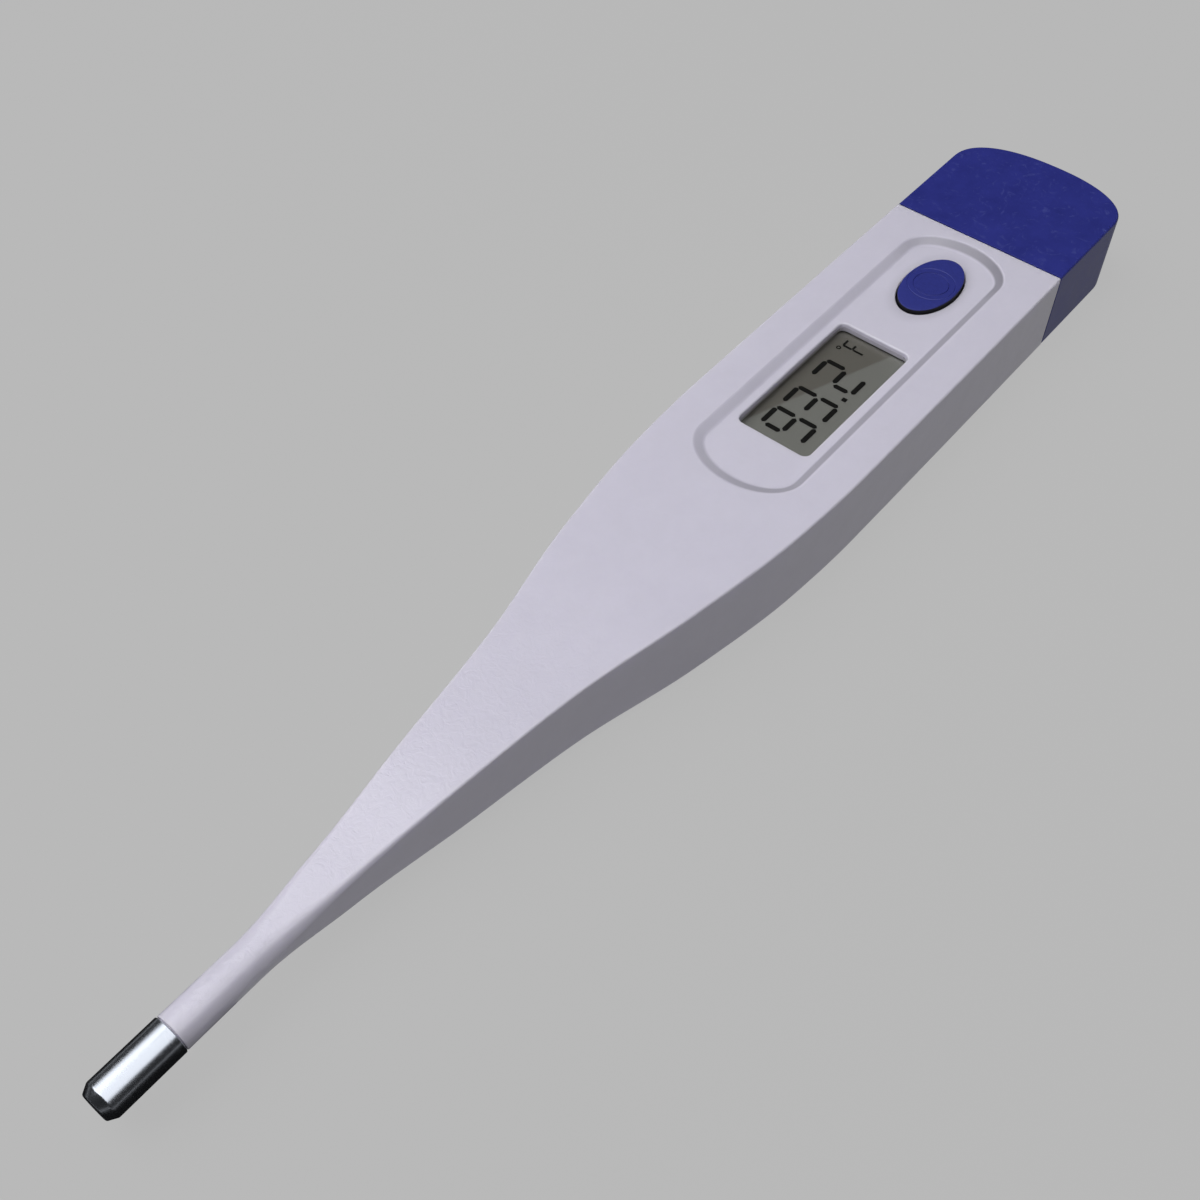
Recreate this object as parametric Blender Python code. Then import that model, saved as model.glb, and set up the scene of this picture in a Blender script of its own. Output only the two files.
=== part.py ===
# Digital clinical thermometer with a rigid probe, modelled as its separate pieces.
#
# +X runs along the thermometer from the steel tip to the cap, +Z points out of the display
# face, and the origin lies under the middle of the thermometer, on the plane that its flat
# back rests on. All lengths are in metres.

import math

import bmesh
import bpy
from mathutils import Matrix, Vector

# --- Driving dimensions: the outside ---
OVERALL_LENGTH = 0.1270
OVERALL_WIDTH = 0.0187
OVERALL_THICKNESS = 0.00846
CAP_LENGTH = 0.0161
CAP_ROUNDING = 0.00515      # length of the cap's rounded end
CAP_SQUARENESS = 2.3        # power of the superellipse that rounds it
HANDLE_LENGTH = 0.0345      # nearly straight stretch in front of the cap
SHOULDER_LENGTH = 0.0330    # where the handle swells out of the taper
SHAFT_LENGTH = 0.0066       # round white probe behind the steel tip
SHAFT_DIAMETER = 0.0031
FLARE_LENGTH = 0.0083       # round section turning into a rectangular one
FLARE_WIDTH = 0.00395
TAPER_MID_WIDTH = 0.00635
TAPER_END_WIDTH = 0.0092
SHOULDER_MID_WIDTH = 0.0143
SHOULDER_TOP_INSET = 0.0005     # of each side from the handle's full width
HANDLE_START_INSET = 0.00012
SHOULDER_MID_OFFSET = 0.0122    # from the end of the taper
SHOULDER_TOP_OFFSET = 0.0246
EDGE_RADIUS = 0.00025       # long edges of the handle and the cap
AXIS_RISE = 0.00035         # of the probe's axis above the middle of the handle

# --- Driving dimensions: steel tip and sensor ---
TIP_LENGTH = 0.0066
TIP_DIAMETER = 0.0032
TIP_WALL = 0.0002
TIP_NOSE_RADIUS = 0.0008
SPIGOT_LENGTH = 0.0032      # end of the probe that the steel tip is pressed over
PROBE_BORE = 0.0014
BEAD_DIAMETER = 0.0009
BEAD_LENGTH = 0.0014
LEAD_DIAMETER = 0.0003

# --- Driving dimensions: walls ---
WALL = 0.0012
RECESS_DEPTH = 0.0005
WINDOW_DEPTH = 0.0009    # from the recess floor down to the ceiling of the cavity
CAP_WALL = 0.0011
CAP_END_WALL = 0.0012
NECK_WALL = 0.0009
NECK_ROOT = 0.0016          # solid stretch that joins the neck to the housing
NECK_CORNER = 0.0012
SEAL_DIAMETER = 0.00055
SEAL_GROOVE_DEPTH = 0.0005
SEAL_GROOVE_WIDTH = 0.00075

# --- Driving dimensions: recess, window and button ---
RECESS_LENGTH = 0.0416
RECESS_WIDTH = 0.0113
RECESS_END_LENGTH = 0.0042  # length of the recess's elliptical ends
RECESS_SLOPE = 0.00115      # plan width of its sloping wall
RECESS_TO_CAP = 0.0010
WINDOW_LENGTH = 0.0170
WINDOW_WIDTH = 0.0076
WINDOW_CORNER = 0.0007
WINDOW_TO_CAP = 0.01835
BUTTON_LENGTH = 0.0089
BUTTON_WIDTH = 0.00525
BUTTON_SQUARENESS = 2.0     # power of the superellipse that outlines it
BUTTON_RISE = 0.00045       # above the recess floor
BUTTON_TO_CAP = 0.0087      # from the button's centre to the cap
BUTTON_TRAVEL = 0.0004
BUTTON_FLANGE = 0.0008
BUTTON_FLANGE_THICKNESS = 0.0006
BUTTON_STEM_DIAMETER = 0.0022
BUTTON_DISH_DIAMETER = 0.0035
BUTTON_DISH_DEPTH = 0.00012
DOME_DIAMETER = 0.0050
DOME_PRESSED_HEIGHT = 0.0002    # of the snap dome once the button is down
DOME_THICKNESS = 0.0001

# --- Driving dimensions: electronics ---
LENS_THICKNESS = 0.0005
POLARISER_THICKNESS = 0.00012
GLASS_THICKNESS = 0.0004
GLASS_MARGIN = 0.0015       # display glass beyond the window on each side
CONTACT_LEDGE = 0.0016      # front glass beyond the rear glass
FRAME_WALL = 0.0009
FRAME_LEDGE = 0.0008
BOARD_THICKNESS = 0.0006
BOARD_FRONT = 0.0045        # board ahead of the display frame
CHIP_DIAMETER = 0.0060
CHIP_HEIGHT = 0.0007
SMD_LENGTH = 0.0016
SMD_WIDTH = 0.0008
SMD_HEIGHT = 0.0005
BUZZER_DIAMETER = 0.0100
BUZZER_PLATE_THICKNESS = 0.00015
BUZZER_LEAD_REACH = 0.0065  # from the buzzer's centre to where its leads meet the board
CERAMIC_DIAMETER = 0.0070
CERAMIC_THICKNESS = 0.00015
BATTERY_DIAMETER = 0.0079
BATTERY_HEIGHT = 0.0036
TRAY_WALL = 0.0007
TRAY_FLOOR = 0.0005
TRAY_RIM_DROP = 0.0007      # of the tray's rim below the top of the battery
TRAY_ARM_WIDTH = 0.0016
TRAY_ARM_INSET = 0.0005     # of the arms from the tray's sides
STRIP_THICKNESS = 0.00015
STRIP_WIDTH = 0.0014

# --- Named clearances ---
SEAM_GAP = 0.00015          # between the housing and the cap
FIT_GAP = 0.00015           # cap on neck, and button in its hole
SEAT_GAP = 0.0001           # pieces that are glued or rest on each other
STACK_GAP = 0.00005         # layers of the display, and soldered pieces
TRAY_GAP = 0.0002           # round the battery tray and under the board
TRAY_END_GAP = 0.0005
POCKET_GAP = 0.0001

# --- Mesh resolution ---
CORNER_STEPS = 6
OVAL_STEPS = 40
CAP_STEPS = 56
BATTERY_STEPS = 32
ROUND_STEPS = 24
PROFILE_STEP = 0.0026
CUT_OVER = 0.0006           # how far a cutter runs past the face it cuts

# --- Stations along X ---
CAP_END = OVERALL_LENGTH / 2
TIP_END = -OVERALL_LENGTH / 2
MOUTH = CAP_END - CAP_LENGTH
HANDLE_START = MOUTH - HANDLE_LENGTH
TAPER_END = HANDLE_START - SHOULDER_LENGTH
SHAFT_FRONT = TIP_END + TIP_LENGTH
SHAFT_END = SHAFT_FRONT + SHAFT_LENGTH
FLARE_END = SHAFT_END + FLARE_LENGTH
TAPER_MID = (FLARE_END + TAPER_END) / 2
SHOULDER_MID = TAPER_END + SHOULDER_MID_OFFSET
SHOULDER_TOP = TAPER_END + SHOULDER_TOP_OFFSET

# --- Levels along Z ---
TOP = OVERALL_THICKNESS
AXIS_Z = OVERALL_THICKNESS / 2 + AXIS_RISE
SHAFT_RADIUS = SHAFT_DIAMETER / 2
RECESS_FLOOR = TOP - RECESS_DEPTH
CEILING = RECESS_FLOOR - WINDOW_DEPTH
NECK_INSET = CAP_WALL + FIT_GAP
NECK_BORE_INSET = NECK_INSET + NECK_WALL
HALF_WIDTH = OVERALL_WIDTH / 2
BOARD_BOTTOM = NECK_BORE_INSET + TRAY_GAP
BOARD_TOP = BOARD_BOTTOM + BOARD_THICKNESS
LENS_BOTTOM = CEILING + STACK_GAP
LENS_TOP = LENS_BOTTOM + LENS_THICKNESS
FRONT_POLARISER_TOP = CEILING - STACK_GAP
FRONT_GLASS_TOP = FRONT_POLARISER_TOP - POLARISER_THICKNESS - STACK_GAP
REAR_GLASS_TOP = FRONT_GLASS_TOP - GLASS_THICKNESS - STACK_GAP
REFLECTOR_TOP = REAR_GLASS_TOP - GLASS_THICKNESS - STACK_GAP
FRAME_LEDGE_TOP = REFLECTOR_TOP - POLARISER_THICKNESS - STACK_GAP
DOME_BASE = BOARD_TOP + STACK_GAP
DOME_HEIGHT = DOME_PRESSED_HEIGHT + BUTTON_TRAVEL
STEM_BOTTOM = DOME_BASE + DOME_HEIGHT + SEAT_GAP
FLANGE_TOP = CEILING - FIT_GAP
FLANGE_BOTTOM = FLANGE_TOP - BUTTON_FLANGE_THICKNESS
BUTTON_TOP = RECESS_FLOOR + BUTTON_RISE
TRAY_BOTTOM = CAP_WALL + TRAY_GAP
TRAY_FLOOR_TOP = TRAY_BOTTOM + TRAY_FLOOR
BATTERY_BOTTOM = TRAY_FLOOR_TOP + STRIP_THICKNESS + 2 * STACK_GAP
BATTERY_TOP = BATTERY_BOTTOM + BATTERY_HEIGHT

# --- Places along X that hang on the pieces above ---
RECESS_X = MOUTH - RECESS_TO_CAP - RECESS_LENGTH / 2
WINDOW_X = MOUTH - WINDOW_TO_CAP - WINDOW_LENGTH / 2
BUTTON_X = MOUTH - BUTTON_TO_CAP
POCKET_RADIUS = BATTERY_DIAMETER / 2 + POCKET_GAP
TRAY_RADIUS = POCKET_RADIUS + TRAY_WALL
TRAY_END = CAP_END - CAP_END_WALL - TRAY_END_GAP
BATTERY_X = TRAY_END - TRAY_RADIUS
TRAY_FRONT = BATTERY_X - TRAY_RADIUS
NECK_END = TRAY_FRONT - 2 * TRAY_GAP
BOARD_END = NECK_END - 2 * TRAY_GAP
GLASS_LENGTH = WINDOW_LENGTH + 2 * GLASS_MARGIN
GLASS_WIDTH = WINDOW_WIDTH + 2 * GLASS_MARGIN
FRAME_LENGTH = GLASS_LENGTH + 2 * (FIT_GAP + FRAME_WALL)
FRAME_WIDTH = GLASS_WIDTH + 2 * (FIT_GAP + FRAME_WALL)
BOARD_START = WINDOW_X - FRAME_LENGTH / 2 - BOARD_FRONT
BOARD_HALF = HALF_WIDTH - NECK_BORE_INSET - 4 * TRAY_GAP


# --- Materials ---

def linear(channel):
    return channel / 12.92 if channel <= 0.04045 else ((channel + 0.055) / 1.055) ** 2.4


def material(name, hex_colour, roughness, metallic=0.0, alpha=1.0):
    made = bpy.data.materials.new(name)
    made.use_nodes = True
    shader = made.node_tree.nodes["Principled BSDF"]
    channels = [int(hex_colour[i:i + 2], 16) / 255 for i in (0, 2, 4)]
    shader.inputs["Base Color"].default_value = [linear(c) for c in channels] + [1.0]
    shader.inputs["Roughness"].default_value = roughness
    shader.inputs["Metallic"].default_value = metallic
    shader.inputs["Alpha"].default_value = alpha
    made.diffuse_color = [linear(c) for c in channels] + [alpha]
    return made


# --- Mesh helpers ---

def add_object(name, data, paint):
    piece = bpy.data.objects.new(name, data)
    bpy.context.scene.collection.objects.link(piece)
    if paint is not None:
        data.materials.append(paint)
    return piece


def finish_mesh(name, bm, paint, sharp_angle=35):
    bmesh.ops.recalc_face_normals(bm, faces=bm.faces)
    if bm.calc_volume(signed=True) < 0:
        bmesh.ops.reverse_faces(bm, faces=bm.faces)
    mesh = bpy.data.meshes.new(name)
    bm.to_mesh(mesh)
    bm.free()
    mesh.shade_smooth()
    mesh.set_sharp_from_angle(angle=math.radians(sharp_angle))
    return add_object(name, mesh, paint)


def as_cutter(piece):
    piece.hide_render = True
    piece.display_type = "WIRE"
    return piece


def boolean(piece, other, operation="DIFFERENCE"):
    modifier = piece.modifiers.new(f"{operation.lower()} {other.name}", "BOOLEAN")
    modifier.operation = operation
    modifier.solver = "EXACT"
    modifier.object = other


def set_origin(piece, point):
    piece.data.transform(Matrix.Translation(-Vector(point)))
    piece.location = point


def loft(name, rings, paint):
    """A closed skin drawn through the rings, which all have the same number of points."""
    bm = bmesh.new()
    verts = [bm.verts.new(point) for point in rings[0]]
    edges = [bm.edges.new(pair) for pair in zip(verts, verts[1:] + verts[:1])]
    bmesh.ops.contextual_create(bm, geom=edges)
    for ring in rings[1:]:
        drawn = bmesh.ops.extrude_edge_only(bm, edges=edges)["geom"]
        copies = {v.co.to_tuple(9): v for v in drawn if isinstance(v, bmesh.types.BMVert)}
        verts = [copies[vert.co.to_tuple(9)] for vert in verts]
        for vert, point in zip(verts, ring):
            vert.co = point
        edges = [bm.edges.get(pair) for pair in zip(verts, verts[1:] + verts[:1])]
    bmesh.ops.contextual_create(bm, geom=edges)
    return finish_mesh(name, bm, paint)


def prism(name, outline, bottom, top, paint, bevel=0.0):
    """An outline in plan, raised from bottom to top, with its flat rims bevelled."""
    bm = bmesh.new()
    base = bm.faces.new([bm.verts.new((x, y, bottom)) for x, y in outline])
    raised = bmesh.ops.extrude_face_region(bm, geom=[base])["geom"]
    for vert in (v for v in raised if isinstance(v, bmesh.types.BMVert)):
        vert.co.z = top
    bmesh.ops.recalc_face_normals(bm, faces=bm.faces)
    if bevel:
        rims = [e for e in bm.edges if abs(e.verts[0].co.z - e.verts[1].co.z) < 1e-7]
        bmesh.ops.bevel(bm, geom=rims, offset=bevel, segments=2, profile=0.5, affect="EDGES")
    return finish_mesh(name, bm, paint)


def rectangle(x0, x1, y0, y1):
    return [(x0, y0), (x1, y0), (x1, y1), (x0, y1)]


def block(name, x0, x1, y0, y1, z0, z1, paint):
    return prism(name, rectangle(x0, x1, y0, y1), z0, z1, paint)


def oval(x, y, half_length, half_width, power=2.0, steps=OVAL_STEPS):
    """A superellipse in plan: power 2 is an ellipse, and less than 2 has pointed ends."""
    points = []
    for i in range(steps):
        c = math.cos(2 * math.pi * i / steps)
        s = math.sin(2 * math.pi * i / steps)
        points.append((
            x + half_length * math.copysign(abs(c) ** (2 / power), c),
            y + half_width * math.copysign(abs(s) ** (2 / power), s),
        ))
    return points


def long_oval(x, half_length, half_width, end_length, steps=20):
    """A straight-sided slot in plan whose two ends are half ellipses."""
    points = []
    for side in (1, -1):
        for i in range(steps + 1):
            angle = math.pi * (i / steps - 0.5)
            points.append((
                x + side * (half_length - end_length + end_length * math.cos(angle)),
                side * half_width * math.sin(angle),
            ))
    return points


def rounded_rectangle(x, y, half_length, half_width, radius, steps=4):
    points = []
    for quarter, (sx, sy) in enumerate(((1, 1), (-1, 1), (-1, -1), (1, -1))):
        for i in range(steps + 1):
            angle = math.pi / 2 * (quarter + i / steps)
            points.append((
                x + sx * (half_length - radius) + radius * math.cos(angle),
                y + sy * (half_width - radius) + radius * math.sin(angle),
            ))
    return points


def at_height(outline, z):
    return [(x, y, z) for x, y in outline]


def section(x, half_width, bottom, top, radius, steps=CORNER_STEPS):
    """A rounded rectangle across X. Its corner points stand half a step in, so that a
    radius of half the height makes a plain circle, and its flats stay where they are said."""
    half_height = (top - bottom) / 2
    middle = (top + bottom) / 2
    radius = min(radius, half_width, half_height)
    out = radius / math.cos(math.pi / 4 / steps)
    points = []
    for quarter, (sy, sz) in enumerate(((1, 1), (-1, 1), (-1, -1), (1, -1))):
        for i in range(steps):
            angle = math.pi / 2 * (quarter + (i + 0.5) / steps)
            points.append((
                x,
                sy * (half_width - radius) + out * math.cos(angle),
                middle + sz * (half_height - radius) + out * math.sin(angle),
            ))
    return points


def disc(x, radius, z=AXIS_Z):
    return section(x, radius, z - radius, z + radius, radius)


def round_ring(x, y, z, radius, steps=ROUND_STEPS):
    return at_height(oval(x, y, radius, radius, steps=steps), z)


def wire(name, points, diameter, paint):
    """A lead: a smooth curve through its points, with a round section and closed ends."""
    curve = bpy.data.curves.new(name, "CURVE")
    curve.dimensions = "3D"
    curve.bevel_depth = diameter / 2
    curve.bevel_resolution = 1
    curve.resolution_u = 4
    curve.use_fill_caps = True
    spline = curve.splines.new("BEZIER")
    spline.bezier_points.add(len(points) - 1)
    for knot, point in zip(spline.bezier_points, points):
        knot.co = point
        knot.handle_left_type = "AUTO"
        knot.handle_right_type = "AUTO"
    return add_object(name, curve, paint)


def strip(name, path, y, paint):
    """A spring strip: a bent line in the XZ plane, drawn out across Y and thickened."""
    bm = bmesh.new()
    verts = [bm.verts.new((x, y - STRIP_WIDTH / 2, z)) for x, z in path]
    edges = [bm.edges.new(pair) for pair in zip(verts, verts[1:])]
    drawn = bmesh.ops.extrude_edge_only(bm, edges=edges)["geom"]
    for vert in (v for v in drawn if isinstance(v, bmesh.types.BMVert)):
        vert.co.y = y + STRIP_WIDTH / 2
    piece = finish_mesh(name, bm, paint)
    thicken = piece.modifiers.new("sheet thickness", "SOLIDIFY")
    thicken.thickness = STRIP_THICKNESS
    thicken.offset = 0
    thicken.use_even_offset = True
    return piece


# --- The housing's lengthways profile ---

# x, half width, then how far the top, the back and the corners still are from the handle's
# flats and crisp edges towards the round shaft: 1 on the shaft, 0 on the handle
STATIONS = [
    (SHAFT_END, SHAFT_RADIUS, 1.0, 1.0, 1.0),
    (FLARE_END, FLARE_WIDTH / 2, 0.84, 0.88, 0.35),
    (TAPER_MID, TAPER_MID_WIDTH / 2, 0.41, 0.58, 0.04),
    (TAPER_END, TAPER_END_WIDTH / 2, 0.19, 0.40, 0.0),
    (SHOULDER_MID, SHOULDER_MID_WIDTH / 2, 0.0, 0.18, 0.0),
    (SHOULDER_TOP, HALF_WIDTH - SHOULDER_TOP_INSET, 0.0, 0.04, 0.0),
    (HANDLE_START, HALF_WIDTH - HANDLE_START_INSET, 0.0, 0.0, 0.0),
    (MOUTH, HALF_WIDTH, 0.0, 0.0, 0.0),
]


def smooth_value(x, column):
    """A monotone cubic through the stations, so that no stretch overshoots its ends."""
    xs = [row[0] for row in STATIONS]
    ys = [row[column] for row in STATIONS]
    if x <= xs[0]:
        return ys[0]
    if x >= xs[-1]:
        return ys[-1]
    slopes = [(b - a) / (d - c) for a, b, c, d in zip(ys, ys[1:], xs, xs[1:])]
    tangents = [0.0]
    for before, after in zip(slopes, slopes[1:]):
        same_way = before * after > 0
        tangents.append(2 * before * after / (before + after) if same_way else 0.0)
    tangents.append(0.0)
    i = max(k for k in range(len(xs) - 1) if xs[k] <= x)
    span = xs[i + 1] - xs[i]
    t = (x - xs[i]) / span
    return (
        (2 * t ** 3 - 3 * t ** 2 + 1) * ys[i]
        + (t ** 3 - 2 * t ** 2 + t) * span * tangents[i]
        + (3 * t ** 2 - 2 * t ** 3) * ys[i + 1]
        + (t ** 3 - t ** 2) * span * tangents[i + 1]
    )


def outer_limits(x):
    """Half width, back, top and corner radius of the housing at x."""
    back = smooth_value(x, 3) * (AXIS_Z - SHAFT_RADIUS)
    top = TOP - smooth_value(x, 2) * (TOP - AXIS_Z - SHAFT_RADIUS)
    corner = EDGE_RADIUS + smooth_value(x, 4) * (SHAFT_RADIUS - EDGE_RADIUS)
    return smooth_value(x, 1), back, top, corner


def outer_section(x):
    return section(x, *outer_limits(x))


def cavity_section(x):
    half_width, back, top, _ = outer_limits(x)
    inner_half = max(half_width - WALL, PROBE_BORE / 2)
    inner_top = min(top - WALL, CEILING)
    inner_back = min(back + WALL, inner_top - PROBE_BORE)
    return section(x, inner_half, inner_back, inner_top, EDGE_RADIUS)


def inset_section(x, inset, radius=EDGE_RADIUS):
    """The handle's outline at the mouth, moved in by an amount."""
    return section(x, HALF_WIDTH - inset, inset, TOP - inset, radius)


def neck_section(x, depth=0.0):
    """The neck's outline, moved in by a depth with its rounding kept concentric."""
    return inset_section(x, NECK_INSET + depth, NECK_CORNER - depth)


def spaced(start, end, step=PROFILE_STEP):
    count = max(1, round((end - start) / step))
    return [start + (end - start) * i / count for i in range(count + 1)]


# --- Pieces ---

def make_housing(paint):
    spigot_radius = TIP_DIAMETER / 2 - TIP_WALL - SEAT_GAP
    groove_middle = (MOUTH + NECK_END) / 2
    groove_front = groove_middle - SEAL_GROOVE_WIDTH / 2
    groove_back = groove_middle + SEAL_GROOVE_WIDTH / 2
    rings = [disc(SHAFT_FRONT - SPIGOT_LENGTH, spigot_radius), disc(SHAFT_FRONT, spigot_radius)]
    rings += [disc(SHAFT_FRONT, SHAFT_RADIUS)]
    rings += [outer_section(x) for x in spaced(SHAFT_END, HANDLE_START)]
    rings += [outer_section(MOUTH)]
    rings += [neck_section(x) for x in (MOUTH, groove_front)]
    rings += [neck_section(x, SEAL_GROOVE_DEPTH) for x in (groove_front, groove_back)]
    rings += [neck_section(x) for x in (groove_back, NECK_END)]
    housing = loft("housing", rings, paint)

    bore = [disc(x, PROBE_BORE / 2) for x in (SHAFT_FRONT - SPIGOT_LENGTH - CUT_OVER, FLARE_END)]
    cavity_start = FLARE_END + PROFILE_STEP
    cavity = [cavity_section(x) for x in spaced(cavity_start, HANDLE_START, 1.5 * PROFILE_STEP)]
    cavity += [cavity_section(MOUTH - NECK_ROOT)]
    neck_bore = [
        inset_section(x, NECK_BORE_INSET) for x in (MOUTH - NECK_ROOT / 2, NECK_END + CUT_OVER)
    ]
    boolean(housing, as_cutter(loft("cut_cavity", bore + cavity + neck_bore, None)))

    slope = RECESS_SLOPE / RECESS_DEPTH
    recess_rings = []
    for z in (RECESS_FLOOR, TOP + CUT_OVER):
        grow = (z - TOP) * slope
        recess_rings.append(at_height(long_oval(
            RECESS_X,
            RECESS_LENGTH / 2 + grow,
            RECESS_WIDTH / 2 + grow,
            RECESS_END_LENGTH + grow,
        ), z))
    boolean(housing, as_cutter(loft("cut_recess", recess_rings, None)))

    window = rounded_rectangle(WINDOW_X, 0, WINDOW_LENGTH / 2, WINDOW_WIDTH / 2, WINDOW_CORNER)
    low, high = CEILING - CUT_OVER, RECESS_FLOOR + CUT_OVER
    boolean(housing, as_cutter(prism("cut_window", window, low, high, None)))
    hole = button_outline(FIT_GAP)
    boolean(housing, as_cutter(prism("cut_button_hole", hole, low, high, None)))


def cap_outline(front, side_wall, end_wall):
    """The cap in plan: straight sides and a rounded end, flattened like a squircle."""
    half = HALF_WIDTH - side_wall
    end = CAP_ROUNDING - end_wall
    start = CAP_END - CAP_ROUNDING
    whole = oval(start, 0, end, half, CAP_SQUARENESS, CAP_STEPS)
    rounded = sorted((p for p in whole if p[0] >= start), key=lambda p: p[1])
    return [(front, -half)] + rounded + [(front, half)]


def make_cap(paint):
    """The cap is drawn longer than it is, so that its bevelled mouth can be cut off square."""
    front = MOUTH + SEAM_GAP
    drawn_front = front - CUT_OVER
    cap = prism("cap", cap_outline(drawn_front, 0, 0), 0, TOP, paint, bevel=EDGE_RADIUS)
    mouth = block("cut_cap_mouth", drawn_front - CUT_OVER, front, -HALF_WIDTH - CUT_OVER,
                  HALF_WIDTH + CUT_OVER, -CUT_OVER, TOP + CUT_OVER, None)
    hollow = prism("cut_cap_hollow", cap_outline(drawn_front, CAP_WALL, CAP_END_WALL),
                   CAP_WALL, TOP - CAP_WALL, None)
    joint_point = Vector((front, 0, TOP / 2))
    set_origin(cap, joint_point)
    for cutter in (mouth, hollow):
        boolean(cap, as_cutter(cutter))
        cutter.parent = cap
        cutter.matrix_parent_inverse = Matrix.Translation(-joint_point)


def make_cap_seal(paint):
    """The ring lies in the neck's groove and stands out of it towards the cap."""
    depth = SEAL_GROOVE_DEPTH - STACK_GAP - SEAL_DIAMETER / 2
    curve = bpy.data.curves.new("cap_seal", "CURVE")
    curve.dimensions = "3D"
    curve.bevel_depth = SEAL_DIAMETER / 2
    curve.bevel_resolution = 1
    spline = curve.splines.new("POLY")
    path = neck_section((MOUTH + NECK_END) / 2, depth)
    spline.points.add(len(path) - 1)
    for knot, point in zip(spline.points, path):
        knot.co = (*point, 1)
    spline.use_cyclic_u = True
    return add_object("cap_seal", curve, paint)


def button_outline(grow):
    return oval(BUTTON_X, 0, BUTTON_LENGTH / 2 + grow, BUTTON_WIDTH / 2 + grow,
                BUTTON_SQUARENESS)


def make_button(paint):
    stem = oval(BUTTON_X, 0, BUTTON_STEM_DIAMETER / 2, BUTTON_STEM_DIAMETER / 2)
    dish = oval(BUTTON_X, 0, BUTTON_DISH_DIAMETER / 2, BUTTON_DISH_DIAMETER / 2)
    rings = [
        at_height(stem, STEM_BOTTOM),
        at_height(stem, FLANGE_BOTTOM),
        at_height(button_outline(BUTTON_FLANGE), FLANGE_BOTTOM),
        at_height(button_outline(BUTTON_FLANGE), FLANGE_TOP),
        at_height(button_outline(0), FLANGE_TOP),
        at_height(button_outline(0), BUTTON_TOP - EDGE_RADIUS / 2),
        at_height(button_outline(-EDGE_RADIUS / 2), BUTTON_TOP),
        at_height(dish, BUTTON_TOP),
        at_height(dish, BUTTON_TOP - BUTTON_DISH_DEPTH),
    ]
    button = loft("button", rings, paint)
    set_origin(button, (BUTTON_X, 0, RECESS_FLOOR))


def make_switch_dome(paint):
    """A snap dome: a shallow sheet cap on the board, open underneath."""
    rings = []
    for inset, order in ((DOME_THICKNESS, 1), (0, -1)):
        shell = []
        for angle in (10, 30, 50, 70, 90)[::order]:
            radius = (DOME_DIAMETER / 2 - inset) * math.sin(math.radians(angle))
            height = (DOME_HEIGHT - inset) * math.cos(math.radians(angle))
            shell.append(round_ring(BUTTON_X, 0, DOME_BASE + height, radius))
        rings += shell
    return loft("switch_dome", rings, paint)


def make_sensor_tip(paint):
    """A drawn steel cup: its inside first, from the nose out to the rim, then its outside."""
    rear = SHAFT_FRONT - SEAT_GAP
    rings = []
    for wall, order in ((TIP_WALL, 1), (0, -1)):
        radius = TIP_DIAMETER / 2 - wall
        nose = TIP_NOSE_RADIUS - wall
        shell = []
        for angle in (0, 30, 60, 90):
            out = radius - nose + nose * math.sin(math.radians(angle))
            back = nose - nose * math.cos(math.radians(angle))
            shell.append(disc(TIP_END + wall + back, out))
        shell.append(disc(rear, radius))
        rings += shell[::order]
    return loft("sensor_tip", rings, paint)


def make_sensor(potting_paint, bead_paint, lead_paint):
    inner_radius = TIP_DIAMETER / 2 - TIP_WALL - SEAT_GAP
    front = TIP_END + TIP_WALL + SEAT_GAP
    rear = SHAFT_FRONT - SPIGOT_LENGTH - TRAY_GAP
    nose = TIP_NOSE_RADIUS - TIP_WALL
    bead_rear = rear - 2 * LEAD_DIAMETER
    bead_front = bead_rear - BEAD_LENGTH
    pocket_radius = BEAD_DIAMETER / 2 + SEAT_GAP
    loft("tip_potting", [
        disc(bead_front - SEAT_GAP, pocket_radius),
        disc(rear, pocket_radius),
        disc(rear, inner_radius),
        disc(front + nose, inner_radius),
        disc(front, inner_radius - nose),
    ], potting_paint)
    round_end = BEAD_DIAMETER / 4
    loft("thermistor", [
        disc(bead_front, BEAD_DIAMETER / 2 - round_end),
        disc(bead_front + round_end, BEAD_DIAMETER / 2),
        disc(bead_rear - round_end, BEAD_DIAMETER / 2),
        disc(bead_rear, BEAD_DIAMETER / 2 - round_end),
    ], bead_paint)
    pad_z = BOARD_TOP + STACK_GAP + LEAD_DIAMETER / 2
    pad_x = BOARD_START + BOARD_FRONT / 2
    for number, side in ((1, 1), (2, -1)):
        wire(f"lead_wire_{number}", [
            (bead_rear + SEAT_GAP, side * LEAD_DIAMETER, AXIS_Z),
            (SHAFT_FRONT, side * LEAD_DIAMETER, AXIS_Z),
            (SHAFT_END, side * LEAD_DIAMETER, AXIS_Z),
            (FLARE_END, side * LEAD_DIAMETER, AXIS_Z),
            (TAPER_END, side * 3 * LEAD_DIAMETER, AXIS_Z - LEAD_DIAMETER),
            ((TAPER_END + BOARD_START) / 2, side * 5 * LEAD_DIAMETER, (AXIS_Z + pad_z) / 2),
            (BOARD_START - LEAD_DIAMETER, side * 6 * LEAD_DIAMETER, pad_z + LEAD_DIAMETER),
            (pad_x, side * 6 * LEAD_DIAMETER, pad_z),
        ], LEAD_DIAMETER, lead_paint)


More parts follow.
